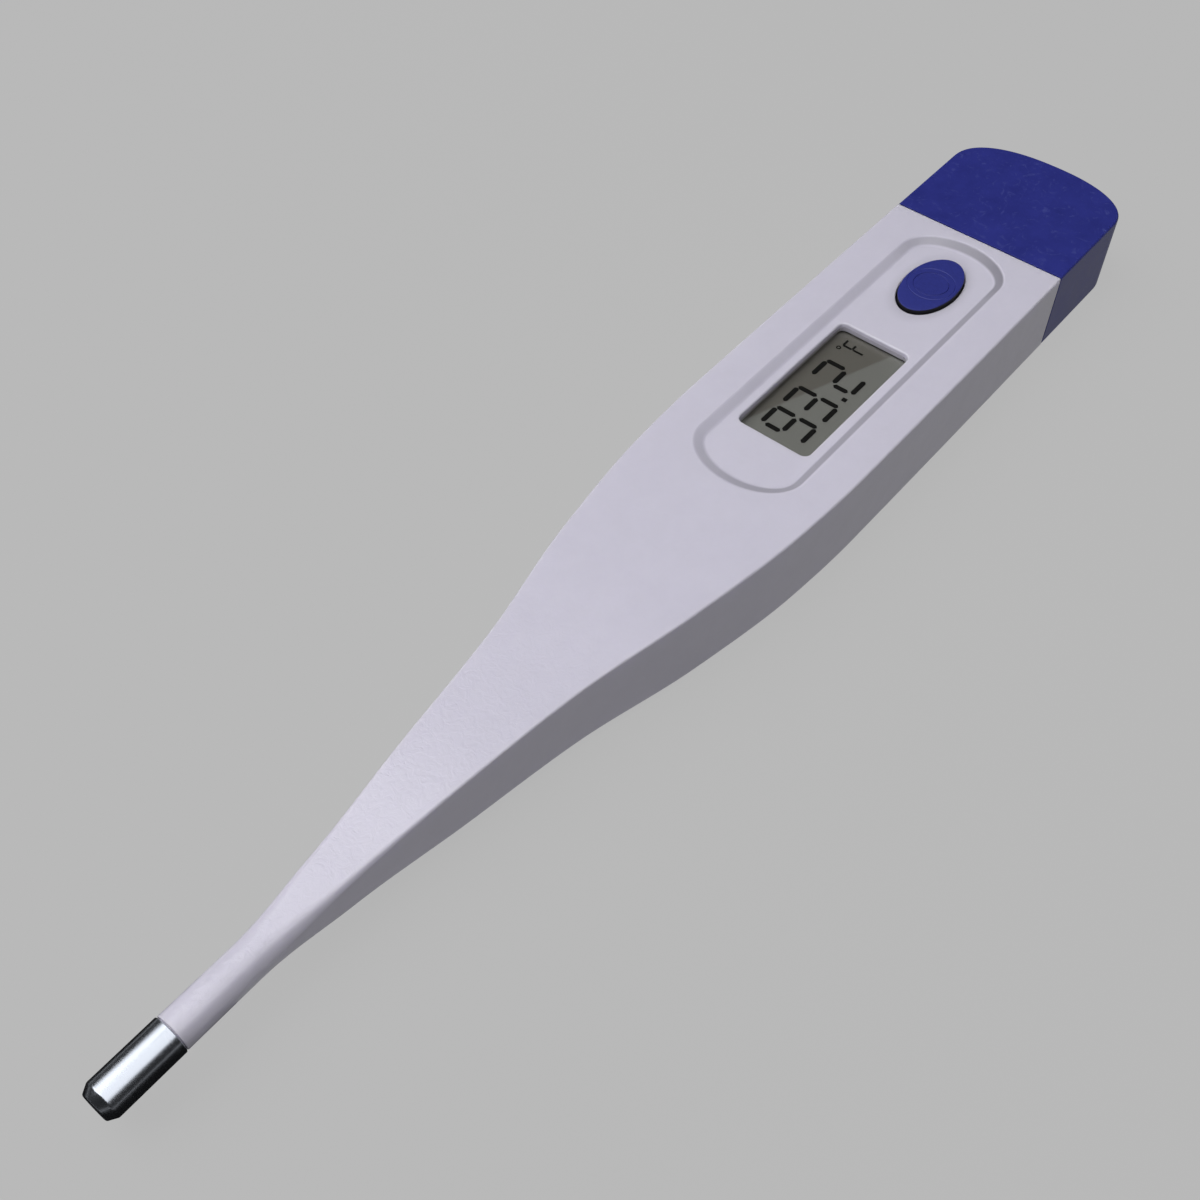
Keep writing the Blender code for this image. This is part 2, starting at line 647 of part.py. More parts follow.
def make_display(paints):
    def layer(name, margin, top, thickness, paint, ledge=0.0):
        half_length = WINDOW_LENGTH / 2 + margin
        half_width = WINDOW_WIDTH / 2 + margin
        block(name, WINDOW_X - half_length, WINDOW_X + half_length,
              ledge - half_width, half_width, top - thickness, top, paint)

    film = GLASS_MARGIN / 2
    layer("lcd_front_polariser", film, FRONT_POLARISER_TOP, POLARISER_THICKNESS, paints["film"])
    layer("lcd_front_glass", GLASS_MARGIN, FRONT_GLASS_TOP, GLASS_THICKNESS, paints["glass"])
    layer("lcd_rear_glass", GLASS_MARGIN, REAR_GLASS_TOP, GLASS_THICKNESS, paints["glass"],
          CONTACT_LEDGE)
    layer("lcd_rear_reflector", film, REFLECTOR_TOP, POLARISER_THICKNESS, paints["reflector"],
          CONTACT_LEDGE)
    lens = rounded_rectangle(WINDOW_X, 0, WINDOW_LENGTH / 2 - SEAT_GAP,
                             WINDOW_WIDTH / 2 - SEAT_GAP, WINDOW_CORNER - SEAT_GAP)
    prism("window_lens", lens, LENS_BOTTOM, LENS_TOP, paints["lens"])

    ledge_edge = -GLASS_WIDTH / 2
    block("zebra_strip", WINDOW_X - WINDOW_LENGTH / 2, WINDOW_X + WINDOW_LENGTH / 2,
          ledge_edge + FIT_GAP, ledge_edge + CONTACT_LEDGE - 2 * FIT_GAP,
          BOARD_TOP + STACK_GAP, REAR_GLASS_TOP, paints["zebra"])

    bottom = BOARD_TOP + SEAT_GAP
    frame = block("lcd_frame", WINDOW_X - FRAME_LENGTH / 2, WINDOW_X + FRAME_LENGTH / 2,
                  -FRAME_WIDTH / 2, FRAME_WIDTH / 2, bottom, FRONT_POLARISER_TOP, paints["frame"])
    half_length = GLASS_LENGTH / 2 + FIT_GAP
    half_width = GLASS_WIDTH / 2 + FIT_GAP
    pocket = block("cut_lcd_pocket", WINDOW_X - half_length, WINDOW_X + half_length,
                   -half_width, half_width, FRAME_LEDGE_TOP, TOP, None)
    through = block("cut_lcd_through", WINDOW_X - half_length + FRAME_LEDGE,
                    WINDOW_X + half_length - FRAME_LEDGE, -half_width,
                    half_width - FRAME_LEDGE, bottom - CUT_OVER, TOP, None)
    boolean(frame, as_cutter(pocket))
    boolean(frame, as_cutter(through))


def make_board(paints):
    block("circuit_board", BOARD_START, BOARD_END, -BOARD_HALF, BOARD_HALF,
          BOARD_BOTTOM, BOARD_TOP, paints["board"])
    chip_top = BOARD_BOTTOM - STACK_GAP
    chip_rings = []
    for angle in (90, 65, 40, 15):
        radius = CHIP_DIAMETER / 2 * math.sin(math.radians(angle))
        height = CHIP_HEIGHT * math.cos(math.radians(angle))
        chip_rings.append(round_ring(WINDOW_X, 0, chip_top - height, radius))
    loft("chip_blob", chip_rings, paints["resin"])

    smd_x = (WINDOW_X + FRAME_LENGTH / 2 + BUTTON_X - DOME_DIAMETER / 2) / 2
    smd_z = BOARD_TOP + STACK_GAP
    for name, row, paint in (
        ("reference_resistor", 1, paints["resistor"]),
        ("oscillator_resistor", 0, paints["resistor"]),
        ("supply_capacitor", -1, paints["capacitor"]),
    ):
        y = row * 2 * SMD_LENGTH
        block(name, smd_x - SMD_WIDTH / 2, smd_x + SMD_WIDTH / 2, y - SMD_LENGTH / 2,
              y + SMD_LENGTH / 2, smd_z, smd_z + SMD_HEIGHT, paint)


def make_buzzer(plate_paint, ceramic_paint, lead_paint):
    plate_z = WALL + SEAT_GAP
    ceramic_z = plate_z + BUZZER_PLATE_THICKNESS + STACK_GAP
    ceramic_top = ceramic_z + CERAMIC_THICKNESS
    for name, bottom, top, diameter, paint in (
        ("buzzer_plate", plate_z, plate_z + BUZZER_PLATE_THICKNESS, BUZZER_DIAMETER, plate_paint),
        ("buzzer_ceramic", ceramic_z, ceramic_top, CERAMIC_DIAMETER, ceramic_paint),
    ):
        rings = [round_ring(BUTTON_X, 0, z, diameter / 2) for z in (bottom, top)]
        loft(name, rings, paint)
    lead_z = (ceramic_top + BOARD_BOTTOM) / 2
    on_plate = (BUZZER_DIAMETER + CERAMIC_DIAMETER) / 4
    for number, start_y, start_z in (
        (1, on_plate, plate_z + BUZZER_PLATE_THICKNESS),
        (2, -CERAMIC_DIAMETER / 4, ceramic_top),
    ):
        side = math.copysign(1, start_y)
        wire(f"buzzer_lead_{number}", [
            (BUTTON_X, start_y, start_z + STACK_GAP + LEAD_DIAMETER / 2),
            (BUTTON_X - BUZZER_DIAMETER / 4, start_y + side * LEAD_DIAMETER, lead_z),
            (BUTTON_X - BUZZER_DIAMETER / 2, start_y + side * 2 * LEAD_DIAMETER, lead_z),
            (BUTTON_X - BUZZER_LEAD_REACH, start_y + side * 3 * LEAD_DIAMETER,
             BOARD_BOTTOM - STACK_GAP - LEAD_DIAMETER / 2),
        ], LEAD_DIAMETER, lead_paint)


def make_battery(paint):
    radius = BATTERY_DIAMETER / 2
    step = BATTERY_HEIGHT / 12
    loft("battery", [
        round_ring(BATTERY_X, 0, BATTERY_BOTTOM, radius - step / 2, BATTERY_STEPS),
        round_ring(BATTERY_X, 0, BATTERY_BOTTOM + step / 2, radius, BATTERY_STEPS),
        round_ring(BATTERY_X, 0, BATTERY_TOP - step, radius, BATTERY_STEPS),
        round_ring(BATTERY_X, 0, BATTERY_TOP - step / 2, radius - step / 2, BATTERY_STEPS),
        round_ring(BATTERY_X, 0, BATTERY_TOP - step / 2, radius - 2 * step, BATTERY_STEPS),
        round_ring(BATTERY_X, 0, BATTERY_TOP, radius - 2.5 * step, BATTERY_STEPS),
    ], paint)


def make_battery_holder(paint):
    """A tray with a round pocket, an open front and two arms that lie on the board."""
    outline = [(TRAY_FRONT, -TRAY_RADIUS)]
    for i in range(ROUND_STEPS + 1):
        angle = math.pi * (i / ROUND_STEPS - 0.5)
        outline.append((
            BATTERY_X + TRAY_RADIUS * math.cos(angle), TRAY_RADIUS * math.sin(angle)))
    outline.append((TRAY_FRONT, TRAY_RADIUS))
    tray = prism("battery_holder", outline, TRAY_BOTTOM, BATTERY_TOP - TRAY_RIM_DROP, paint)
    arm_bottom = BOARD_TOP + SEAT_GAP
    arm_start = (NECK_END + MOUTH) / 2
    arm_far = TRAY_RADIUS - TRAY_ARM_INSET
    for name, side in (("arm_left", 1), ("arm_right", -1)):
        near, far = sorted((side * (arm_far - TRAY_ARM_WIDTH), side * arm_far))
        arm = block(name, arm_start, TRAY_FRONT + TRAY_WALL / 2, near, far,
                    arm_bottom, arm_bottom + TRAY_WALL, None)
        boolean(tray, as_cutter(arm), "UNION")
    pocket = [round_ring(BATTERY_X, 0, z, POCKET_RADIUS, BATTERY_STEPS) for z in (TRAY_FLOOR_TOP, TOP)]
    boolean(tray, as_cutter(loft("cut_battery_pocket", pocket, None)))
    notch_half = STRIP_WIDTH + 4 * TRAY_GAP
    notch = block("cut_tray_notch", TRAY_FRONT - CUT_OVER, BATTERY_X, -notch_half, notch_half,
                  TRAY_FLOOR_TOP, TOP, None)
    boolean(tray, as_cutter(notch))


def make_battery_contacts(paint):
    half = STRIP_THICKNESS / 2
    pad_x = BOARD_END - 2 * STRIP_WIDTH
    pad_z = BOARD_TOP + STACK_GAP + half
    rise_x = (NECK_END + TRAY_FRONT) / 2
    floor_z = TRAY_FLOOR_TOP + STACK_GAP + half
    arm_z = BATTERY_TOP + STACK_GAP + half
    side = STRIP_WIDTH / 2 + TRAY_GAP
    strip("battery_contact_positive", [
        (pad_x, pad_z), (rise_x, pad_z), (rise_x, floor_z), (BATTERY_X + BATTERY_DIAMETER / 4, floor_z),
    ], side, paint)
    strip("battery_contact_negative", [
        (pad_x, pad_z), (rise_x, pad_z), (rise_x, arm_z), (BATTERY_X, arm_z),
    ], -side, paint)


def main():
    for old in list(bpy.data.objects):
        bpy.data.objects.remove(old, do_unlink=True)
    bpy.context.scene.unit_settings.system = "METRIC"
    bpy.context.scene.unit_settings.length_unit = "MILLIMETERS"

    white = material("white_abs", "D6D4E0", 0.38)
    blue = material("blue_abs", "262B7A", 0.42)
    blue_rubber = material("blue_rubber", "282D78", 0.55)
    steel = material("stainless_steel", "C9CCD2", 0.22, 1.0)
    nickel = material("nickel_plate", "B9B6AE", 0.3, 1.0)
    copper = material("copper_wire", "B5672F", 0.4, 1.0)

    make_housing(white)
    make_cap(blue)
    make_cap_seal(material("seal_rubber", "2A2C33", 0.7))
    make_button(blue_rubber)
    make_switch_dome(material("dome_steel", "C4C6C8", 0.3, 1.0))
    make_sensor_tip(steel)
    make_sensor(material("potting_resin", "3A3B3E", 0.5), material("bead_glass", "8A4B2A", 0.3),
                copper)
    make_display({
        "film": material("polariser_film", "8A8F88", 0.3, alpha=0.4),
        "glass": material("display_glass", "AEB8B0", 0.1, alpha=0.35),
        "reflector": material("reflector_film", "6E726C", 0.5),
        "lens": material("clear_acrylic", "E4E8E6", 0.08, alpha=0.25),
        "zebra": material("zebra_elastomer", "D9A0A6", 0.7),
        "frame": material("frame_abs", "E4E2DC", 0.5),
    })
    make_board({
        "board": material("board_laminate", "1E5B38", 0.5),
        "resin": material("chip_resin", "121314", 0.35),
        "resistor": material("resistor_ceramic", "1B1C1F", 0.5),
        "capacitor": material("capacitor_ceramic", "A67C52", 0.5),
    })
    make_buzzer(material("buzzer_brass", "C9A24B", 0.35, 1.0),
                material("buzzer_ceramic", "D8D2C4", 0.45), copper)
    make_battery(material("battery_can", "C2C3C4", 0.25, 1.0))
    make_battery_holder(material("holder_abs", "DAD8D2", 0.5))
    make_battery_contacts(nickel)


main()
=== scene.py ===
import math

import bmesh
import bpy
from mathutils import Matrix, Vector


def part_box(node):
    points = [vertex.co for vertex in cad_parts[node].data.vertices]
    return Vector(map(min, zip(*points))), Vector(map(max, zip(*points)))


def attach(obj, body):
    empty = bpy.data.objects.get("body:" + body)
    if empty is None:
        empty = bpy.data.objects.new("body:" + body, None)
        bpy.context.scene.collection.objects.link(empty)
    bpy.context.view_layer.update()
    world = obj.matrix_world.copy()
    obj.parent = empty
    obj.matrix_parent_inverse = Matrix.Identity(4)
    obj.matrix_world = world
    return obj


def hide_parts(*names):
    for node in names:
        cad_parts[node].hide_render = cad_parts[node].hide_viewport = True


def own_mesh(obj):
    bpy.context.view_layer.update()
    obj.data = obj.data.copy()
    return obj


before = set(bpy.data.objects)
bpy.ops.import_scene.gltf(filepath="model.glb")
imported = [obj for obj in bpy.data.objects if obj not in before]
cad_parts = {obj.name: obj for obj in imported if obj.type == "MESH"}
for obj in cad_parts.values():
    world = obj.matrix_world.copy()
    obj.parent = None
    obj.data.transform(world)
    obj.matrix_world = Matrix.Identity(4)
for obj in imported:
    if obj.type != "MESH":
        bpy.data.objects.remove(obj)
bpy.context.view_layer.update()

mm = 0.001    # shapes are drawn in millimetres and brought to metres when they are finished
sharpAngle = math.radians(28)    # an edge that turns more than this stays crisp
joinWithin = 0.0005              # vertices closer than this, in mm, are one


# what everything is made with

def boxMm(node):
    low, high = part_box(node)
    return low / mm, high / mm


def linear(hexColour):
    channels = [int(hexColour[i:i + 2], 16) / 255 for i in (0, 2, 4)]
    return [c / 12.92 if c <= 0.04045 else ((c + 0.055) / 1.055) ** 2.4 for c in channels] + [1]


def addNode(tree, kind, inputs=None, **settings):
    node = tree.nodes.new(kind)
    for name, value in settings.items():
        setattr(node, name, value)
    for name, value in (inputs or {}).items():
        if isinstance(value, bpy.types.NodeSocket):
            tree.links.new(value, node.inputs[name])
        else:
            node.inputs[name].default_value = value
    return node


def startMaterial(name, inputs):
    material = bpy.data.materials.new(name)
    material.use_nodes = True
    tree = material.node_tree
    shader = tree.nodes["Principled BSDF"]
    for socket, value in inputs.items():
        shader.inputs[socket].default_value = value
    place = addNode(tree, "ShaderNodeTexCoord").outputs["Object"]
    return material, tree, shader, place


def newVerts(result):
    return [v for v in result["geom"] if isinstance(v, bmesh.types.BMVert)]


def ringThrough(bm, points):
    verts = [bm.verts.new(point) for point in points]
    return [bm.edges.new(pair) for pair in zip(verts, verts[1:] + verts[:1])]


def loft(rings):
    # a skin through rings of equally many points, closed at both ends
    bm = bmesh.new()
    edges = ringThrough(bm, rings[0])
    verts = [edge.verts[0] for edge in edges]
    bmesh.ops.contextual_create(bm, geom=edges)
    for ring in rings[1:]:
        drawn = newVerts(bmesh.ops.extrude_edge_only(bm, edges=edges))
        follows = {}
        for vert in drawn:
            for edge in vert.link_edges:
                follows[edge.other_vert(vert)] = vert
        verts = [follows[vert] for vert in verts]
        for vert, point in zip(verts, ring):
            vert.co = point
        edges = [bm.edges.get(pair) for pair in zip(verts, verts[1:] + verts[:1])]
    bmesh.ops.contextual_create(bm, geom=edges)
    return bm


def faceOutwards(bm):
    bmesh.ops.recalc_face_normals(bm, faces=bm.faces)
    if bm.calc_volume(signed=True) < 0:
        bmesh.ops.reverse_faces(bm, faces=bm.faces)


def toObject(name, bm):
    faceOutwards(bm)
    mesh = bpy.data.meshes.new(name)
    bm.to_mesh(mesh)
    bm.free()
    piece = bpy.data.objects.new(name, mesh)
    bpy.context.scene.collection.objects.link(piece)
    return piece


def carve(piece, cutters):
    for cutter in cutters:
        modifier = piece.modifiers.new(cutter.name, "BOOLEAN")
        modifier.operation = "DIFFERENCE"
        modifier.solver = "EXACT"
        modifier.object = cutter
    ready = piece.evaluated_get(bpy.context.evaluated_depsgraph_get())
    bm = bmesh.new()
    bm.from_mesh(bpy.data.meshes.new_from_object(ready))
    for done in [piece] + cutters:
        bpy.data.objects.remove(done)
    return bm


def settle(name, bm, material, body, replaced):
    bmesh.ops.remove_doubles(bm, verts=bm.verts, dist=joinWithin)
    bmesh.ops.dissolve_degenerate(bm, edges=bm.edges, dist=joinWithin)
    bm.transform(Matrix.Scale(mm, 4))
    piece = toObject(name, bm)
    piece.data.shade_smooth()
    piece.data.set_sharp_from_angle(angle=sharpAngle)
    flats = piece.modifiers.new("keep flats flat", "WEIGHTED_NORMAL")
    flats.keep_sharp = True
    flats.weight = 80
    piece.data.materials.append(material)
    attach(piece, body)
    if replaced:
        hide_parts(*replaced)
    print("made", name, len(piece.data.polygons), "faces")
    return piece


# outlines and sections, as points that the lofts run through

def superellipse(x, halfLength, halfWidth, power, steps):
    points = []
    for i in range(steps):
        c, s = math.cos(math.tau * i / steps), math.sin(math.tau * i / steps)
        points.append((x + halfLength * math.copysign(abs(c) ** (2 / power), c),
                       halfWidth * math.copysign(abs(s) ** (2 / power), s)))
    return points


def longOval(x, halfLength, halfWidth, endLength, steps):
    points = []
    for side in (1, -1):
        for i in range(steps + 1):
            angle = math.pi * (i / steps - 0.5)
            points.append((x + side * (halfLength - endLength + endLength * math.cos(angle)),
                           side * halfWidth * math.sin(angle)))
    return points


def roundedBox(x, halfLength, halfWidth, radius, steps):
    points = []
    for quarter, (sx, sy) in enumerate(((1, 1), (-1, 1), (-1, -1), (1, -1))):
        for i in range(steps + 1):
            angle = math.pi / 2 * (quarter + i / steps)
            points.append((x + sx * (halfLength - radius) + radius * math.cos(angle),
                           sy * (halfWidth - radius) + radius * math.sin(angle)))
    return points


def atHeight(outline, z):
    return [(x, y, z) for x, y in outline]


def section(x, halfWidth, back, top, radius, steps=10):
    # a rounded box across the axis, whose facets touch the true corner circles from outside
    halfHeight, middle = (top - back) / 2, (top + back) / 2
    radius = min(radius, halfWidth, halfHeight)
    out = radius / math.cos(math.pi / 4 / steps)
    points = []
    for quarter, (sy, sz) in enumerate(((1, 1), (-1, 1), (-1, -1), (1, -1))):
        for i in range(steps):
            angle = math.pi / 2 * (quarter + (i + 0.5) / steps)
            points.append((x, sy * (halfWidth - radius) + out * math.cos(angle),
                           middle + sz * (halfHeight - radius) + out * math.sin(angle)))
    return points


def fillet(radius, steps, end=90):
    # points of a rounded rim: how far out it has come, and how far it has risen
    turns = [math.radians(end * i / steps) for i in range(steps + 1)]
    return [(radius * math.sin(a), radius * (1 - math.cos(a))) for a in turns]


# camera and studio

cameraSpec = {
    "place": (-67.55, -46.45, 99.63),    # mm
    "azimuth": -50.27,
    "elevation": 51.62,
    "lens": 43.455,
    "sensor": 36,
    "nearest": 5,               # nothing closer than this, in mm, is drawn
}
studio = {
    "sheet": "b9b9b9",
    "sheetGlow": 0.32,          # the sweep is lit from below, like a light table
    "sheetExtra": 0.127,        # and looks a little brighter than the light that it gives
    "sheetTone": 0.045,
    "sheetHalf": 3000,
    "sheetDrop": 0.05,          # so that the part's flat back does not flicker against it
    "surround": 0.02,
    "card": (-74, 0, 22, 45, -0.02),    # black card under the steel tip: x, y, half sizes, z
    "lamps": {                  # place, aim, size in mm, watts, then what it is seen by
        "softbox": ((-195, 290, 530), (-30, 0, 5), (540, 560), 2.40, ("diffuse", "glossy")),
        "fillLamp": ((-150, -20, 660), (0, 0, 5), (420, 420), 1.95, ("diffuse",)),
        "stripLamp": ((-60, -165, 470), (-60, 0, 5), (430, 540), 1.35, ("glossy",)),
    },
}


def makeCamera():
    data = bpy.data.cameras.new("camera")
    data.lens = cameraSpec["lens"]
    data.sensor_width = cameraSpec["sensor"]
    data.clip_start = cameraSpec["nearest"] * mm
    camera = bpy.data.objects.new("camera", data)
    camera.location = Vector(cameraSpec["place"]) * mm
    camera.rotation_euler = (math.radians(90 - cameraSpec["elevation"]), 0,
                             math.radians(cameraSpec["azimuth"]))
    bpy.context.scene.collection.objects.link(camera)
    bpy.context.scene.camera = camera


def makeStudio():
    scene = bpy.context.scene
    scene.view_settings.view_transform = "Standard"
    for name, (place, aim, size, power, seenBy) in studio["lamps"].items():
        data = bpy.data.lights.new(name, "AREA")
        data.shape = "RECTANGLE"
        data.size = size[0] * mm
        data.size_y = size[1] * mm
        data.energy = power
        lamp = bpy.data.objects.new(name, data)
        lamp.location = Vector(place) * mm
        away = Vector(place) - Vector(aim)
        lamp.rotation_euler = away.to_track_quat("Z", "Y").to_euler()
        lamp.visible_diffuse = "diffuse" in seenBy
        lamp.visible_glossy = "glossy" in seenBy
        scene.collection.objects.link(lamp)

    world = bpy.data.worlds.new("studio surround")
    scene.world = world
    world.use_nodes = True
    tree = world.node_tree
    tree.nodes.clear()
    pale = addNode(tree, "ShaderNodeBackground", {"Color": linear(studio["sheet"])})
    dim = addNode(tree, "ShaderNodeBackground", {"Strength": studio["surround"]})
    seen = addNode(tree, "ShaderNodeLightPath").outputs["Is Camera Ray"]
    mixed = addNode(tree, "ShaderNodeMixShader",
                    {0: seen, 1: dim.outputs[0], 2: pale.outputs[0]})
    addNode(tree, "ShaderNodeOutputWorld", {"Surface": mixed.outputs[0]})

    bm = bmesh.new()
    bmesh.ops.create_grid(bm, x_segments=1, y_segments=1, size=studio["sheetHalf"] * mm)
    bmesh.ops.translate(bm, verts=bm.verts, vec=(0, 0, -studio["sheetDrop"] * mm))
    floor = toObject("floor", bm)
    tone = studio["sheetTone"]
    paper, tree, shader, _ = startMaterial("backlit paper sweep", {
        "Base Color": (tone, tone, tone, 1),
        "Roughness": 0.9,
        "Specular IOR Level": 0.0,
        "Emission Color": (1, 1, 1, 1),
    })
    seen = addNode(tree, "ShaderNodeLightPath").outputs["Is Camera Ray"]
    glow = addNode(tree, "ShaderNodeMath", {
        0: seen, 1: studio["sheetExtra"], 2: studio["sheetGlow"]}, operation="MULTIPLY_ADD")
    tree.links.new(glow.outputs["Value"], shader.inputs["Emission Strength"])
    floor.data.materials.append(paper)

    x, y, halfX, halfY, z = studio["card"]
    bm = bmesh.new()
    bmesh.ops.create_grid(bm, x_segments=1, y_segments=1, size=mm,
                          matrix=Matrix.Translation((x * mm, y * mm, z * mm))
                          @ Matrix.Diagonal((halfX, halfY, 1, 1)))
    card = toObject("blackCard", bm)
    black, _, _, _ = startMaterial("black card", {
        "Base Color": linear("060606"), "Roughness": 0.9, "Specular IOR Level": 0.0})
    card.data.materials.append(black)
    card.visible_camera = False
    card.visible_diffuse = False
    card.visible_shadow = False


# finishes

# painted shade in the recess and round the button: where it lies and how much colour it takes off
recessShadeLosses = {
    "fromX": 3.5, "halfWidth": 6,       # where the recess is, in mm
    "aboveFloor": (0.02, 0.14), "belowTop": (0.02, 0.12),
    "sides": (5.3, 0.37, 0.07),         # half width, then the loss on the near and far side
    "capEnd": (40, 45, 0.22),           # from and to along x, then the loss added
    "keyRing": (1.45, 0.13),            # reach, in button outlines, and the loss at the button
}


def paintedRecessShade(tree, place, tone):
    # painted shade: the recess's sloping wall and the floor round the button are darkened, more on
    # the near side and towards the cap's end, and the shade stays under any light
    spec = recessShadeLosses
    axes = addNode(tree, "ShaderNodeSeparateXYZ", {"Vector": place})
    low, high = spec["aboveFloor"]
    rise = addNode(tree, "ShaderNodeMapRange", {
        "Value": axes.outputs["Z"], "From Min": (recessFloor + low) * mm,
        "From Max": (recessFloor + high) * mm}, interpolation_type="SMOOTHSTEP")
    low, high = spec["belowTop"]
    fall = addNode(tree, "ShaderNodeMapRange", {
        "Value": axes.outputs["Z"], "From Min": (top - low) * mm,
        "From Max": (top - high) * mm}, interpolation_type="SMOOTHSTEP")
    along = addNode(tree, "ShaderNodeMath", {
        0: axes.outputs["X"], 1: spec["fromX"] * mm}, operation="GREATER_THAN")
    off = addNode(tree, "ShaderNodeMath", {0: axes.outputs["Y"]}, operation="ABSOLUTE")
    inside = addNode(tree, "ShaderNodeMath", {
        0: off.outputs["Value"], 1: spec["halfWidth"] * mm}, operation="LESS_THAN")
    mask = rise.outputs["Result"]
    for part in (fall.outputs["Result"], along.outputs["Value"], inside.outputs["Value"]):
        mask = addNode(tree, "ShaderNodeMath", {
            0: mask, 1: part}, operation="MULTIPLY").outputs["Value"]
    half, near, far = spec["sides"]
    across = addNode(tree, "ShaderNodeMapRange", {
        "Value": axes.outputs["Y"], "From Min": -half * mm, "From Max": half * mm,
        "To Min": near, "To Max": far})
    start, end, added = spec["capEnd"]
    capEnd = addNode(tree, "ShaderNodeMapRange", {
        "Value": axes.outputs["X"], "From Min": start * mm, "From Max": end * mm,
        "To Min": 0.0, "To Max": added})
    depth = addNode(tree, "ShaderNodeMath", {
        0: across.outputs["Result"], 1: capEnd.outputs["Result"]}, operation="ADD")
    wallLoss = addNode(tree, "ShaderNodeMath", {
        0: mask, 1: depth.outputs["Value"]}, operation="MULTIPLY")
    fromKey = addNode(tree, "ShaderNodeMapping", {    # 1 on the button's edge
        "Vector": place, "Location": (-buttonX * 2 / buttonSpec["length"], 0, 0),
        "Scale": (2000 / buttonSpec["length"], 2000 / buttonSpec["width"], 0)})
    distance = addNode(tree, "ShaderNodeVectorMath", {
        0: fromKey.outputs["Vector"]}, operation="LENGTH")
    reach, atKey = spec["keyRing"]
    keyShadeLoss = addNode(tree, "ShaderNodeMapRange", {
        "Value": distance.outputs["Value"], "From Min": 1.0, "From Max": reach,
        "To Min": atKey, "To Max": 0.0}, interpolation_type="SMOOTHSTEP")
    loss = addNode(tree, "ShaderNodeMath", {
        0: wallLoss.outputs["Value"], 1: keyShadeLoss.outputs["Result"]}, operation="ADD")
    keep = addNode(tree, "ShaderNodeMath", {
        0: 1.0, 1: loss.outputs["Value"]}, operation="SUBTRACT")
    return addNode(tree, "ShaderNodeMath", {
        0: keep.outputs["Value"], 1: tone}, operation="MULTIPLY").outputs["Value"]


def spread(tree, noise, low, high, **sockets):
    # the middle of a noise's range, spread over two values
    return addNode(tree, "ShaderNodeMapRange", {
        "Value": noise.outputs["Fac"], "From Min": 0.3, "From Max": 0.7,
        "To Min": low, "To Max": high, **sockets}).outputs["Result"]


def colourBy(tree, shade, strength):
    return addNode(tree, "ShaderNodeVectorMath", {
        0: shade, "Scale": strength}, operation="SCALE").outputs["Vector"]


def liftNormal(tree, shader, height, distance, **sockets):
    bump = addNode(tree, "ShaderNodeBump", {"Height": height, "Distance": distance * mm, **sockets})
    tree.links.new(bump.outputs["Normal"], shader.inputs["Normal"])


def mouldedAbs(name, colour, roughness, grainHeight=0.045, mottle=0.02, wear=0.0, walls=False):
    # ABS from a spark-eroded mould: satin, with a crackled orange peel on its flat top, smoother
    # at the sides, slow changes of tone and a little light going in at the edges. The crackle's
    # 0.75 mm is given
    material, tree, shader, place = startMaterial(name, {
        "IOR": 1.54, "Subsurface Weight": 0.5 if walls else 0.0,
        "Subsurface Radius": (1, 1, 1), "Subsurface Scale": 0.8 * mm})
    slow = addNode(tree, "ShaderNodeTexNoise", {
        "Vector": place, "Scale": 1000 / 3.5, "Detail": 6.0, "Roughness": 0.75})
    fine = addNode(tree, "ShaderNodeTexNoise", {
        "Vector": place, "Scale": 1000 / 0.75, "Detail": 4.0, "Roughness": 0.6,
        "Distortion": 1.2})
    tone = spread(tree, slow, 1 - mottle, 1 + mottle)
    # painted shade on the recess's wall and round the button
    if walls:
        tone = paintedRecessShade(tree, place, tone)
    shade = colourBy(tree, linear(colour)[:3], tone)
    if wear:    # pale scuffs, about 1.6 mm apart
        scuffs = addNode(tree, "ShaderNodeTexNoise", {
            "Vector": place, "Scale": 1000 / 1.6, "Detail": 6.0, "Roughness": 0.7,
            "Distortion": 2.5})
        marks = addNode(tree, "ShaderNodeMapRange", {
            "Value": scuffs.outputs["Fac"], "From Min": 0.56, "From Max": 0.66,
            "To Min": 0.0, "To Max": wear})
        shade = addNode(tree, "ShaderNodeMix", {
            "Factor": marks.outputs["Result"], 6: shade, 7: linear("3f4694")},
            data_type="RGBA").outputs[2]
    tree.links.new(shade, shader.inputs["Base Color"])
    gloss = spread(tree, slow, roughness - 0.03, roughness + 0.03)
    tree.links.new(gloss, shader.inputs["Roughness"])
    facing = addNode(tree, "ShaderNodeSeparateXYZ", {
        "Vector": addNode(tree, "ShaderNodeNewGeometry").outputs["Normal"]})
    onTop = addNode(tree, "ShaderNodeMapRange", {
        "Value": facing.outputs["Z"], "From Min": 0.75, "From Max": 0.97,
        "To Min": 0.04, "To Max": 1.0})
    along = addNode(tree, "ShaderNodeSeparateXYZ", {"Vector": place})
    onTaper = addNode(tree, "ShaderNodeMapRange", {    # it is strongest where the taper begins
        "Value": along.outputs["X"], "From Min": -20 * mm, "From Max": -8 * mm,
        "To Min": 1.0, "To Max": 0.2})
    strength = addNode(tree, "ShaderNodeMath", {
        0: onTop.outputs["Result"], 1: onTaper.outputs["Result"]}, operation="MULTIPLY")
    liftNormal(tree, shader, fine.outputs["Fac"], grainHeight, Strength=strength.outputs["Value"])
    return material


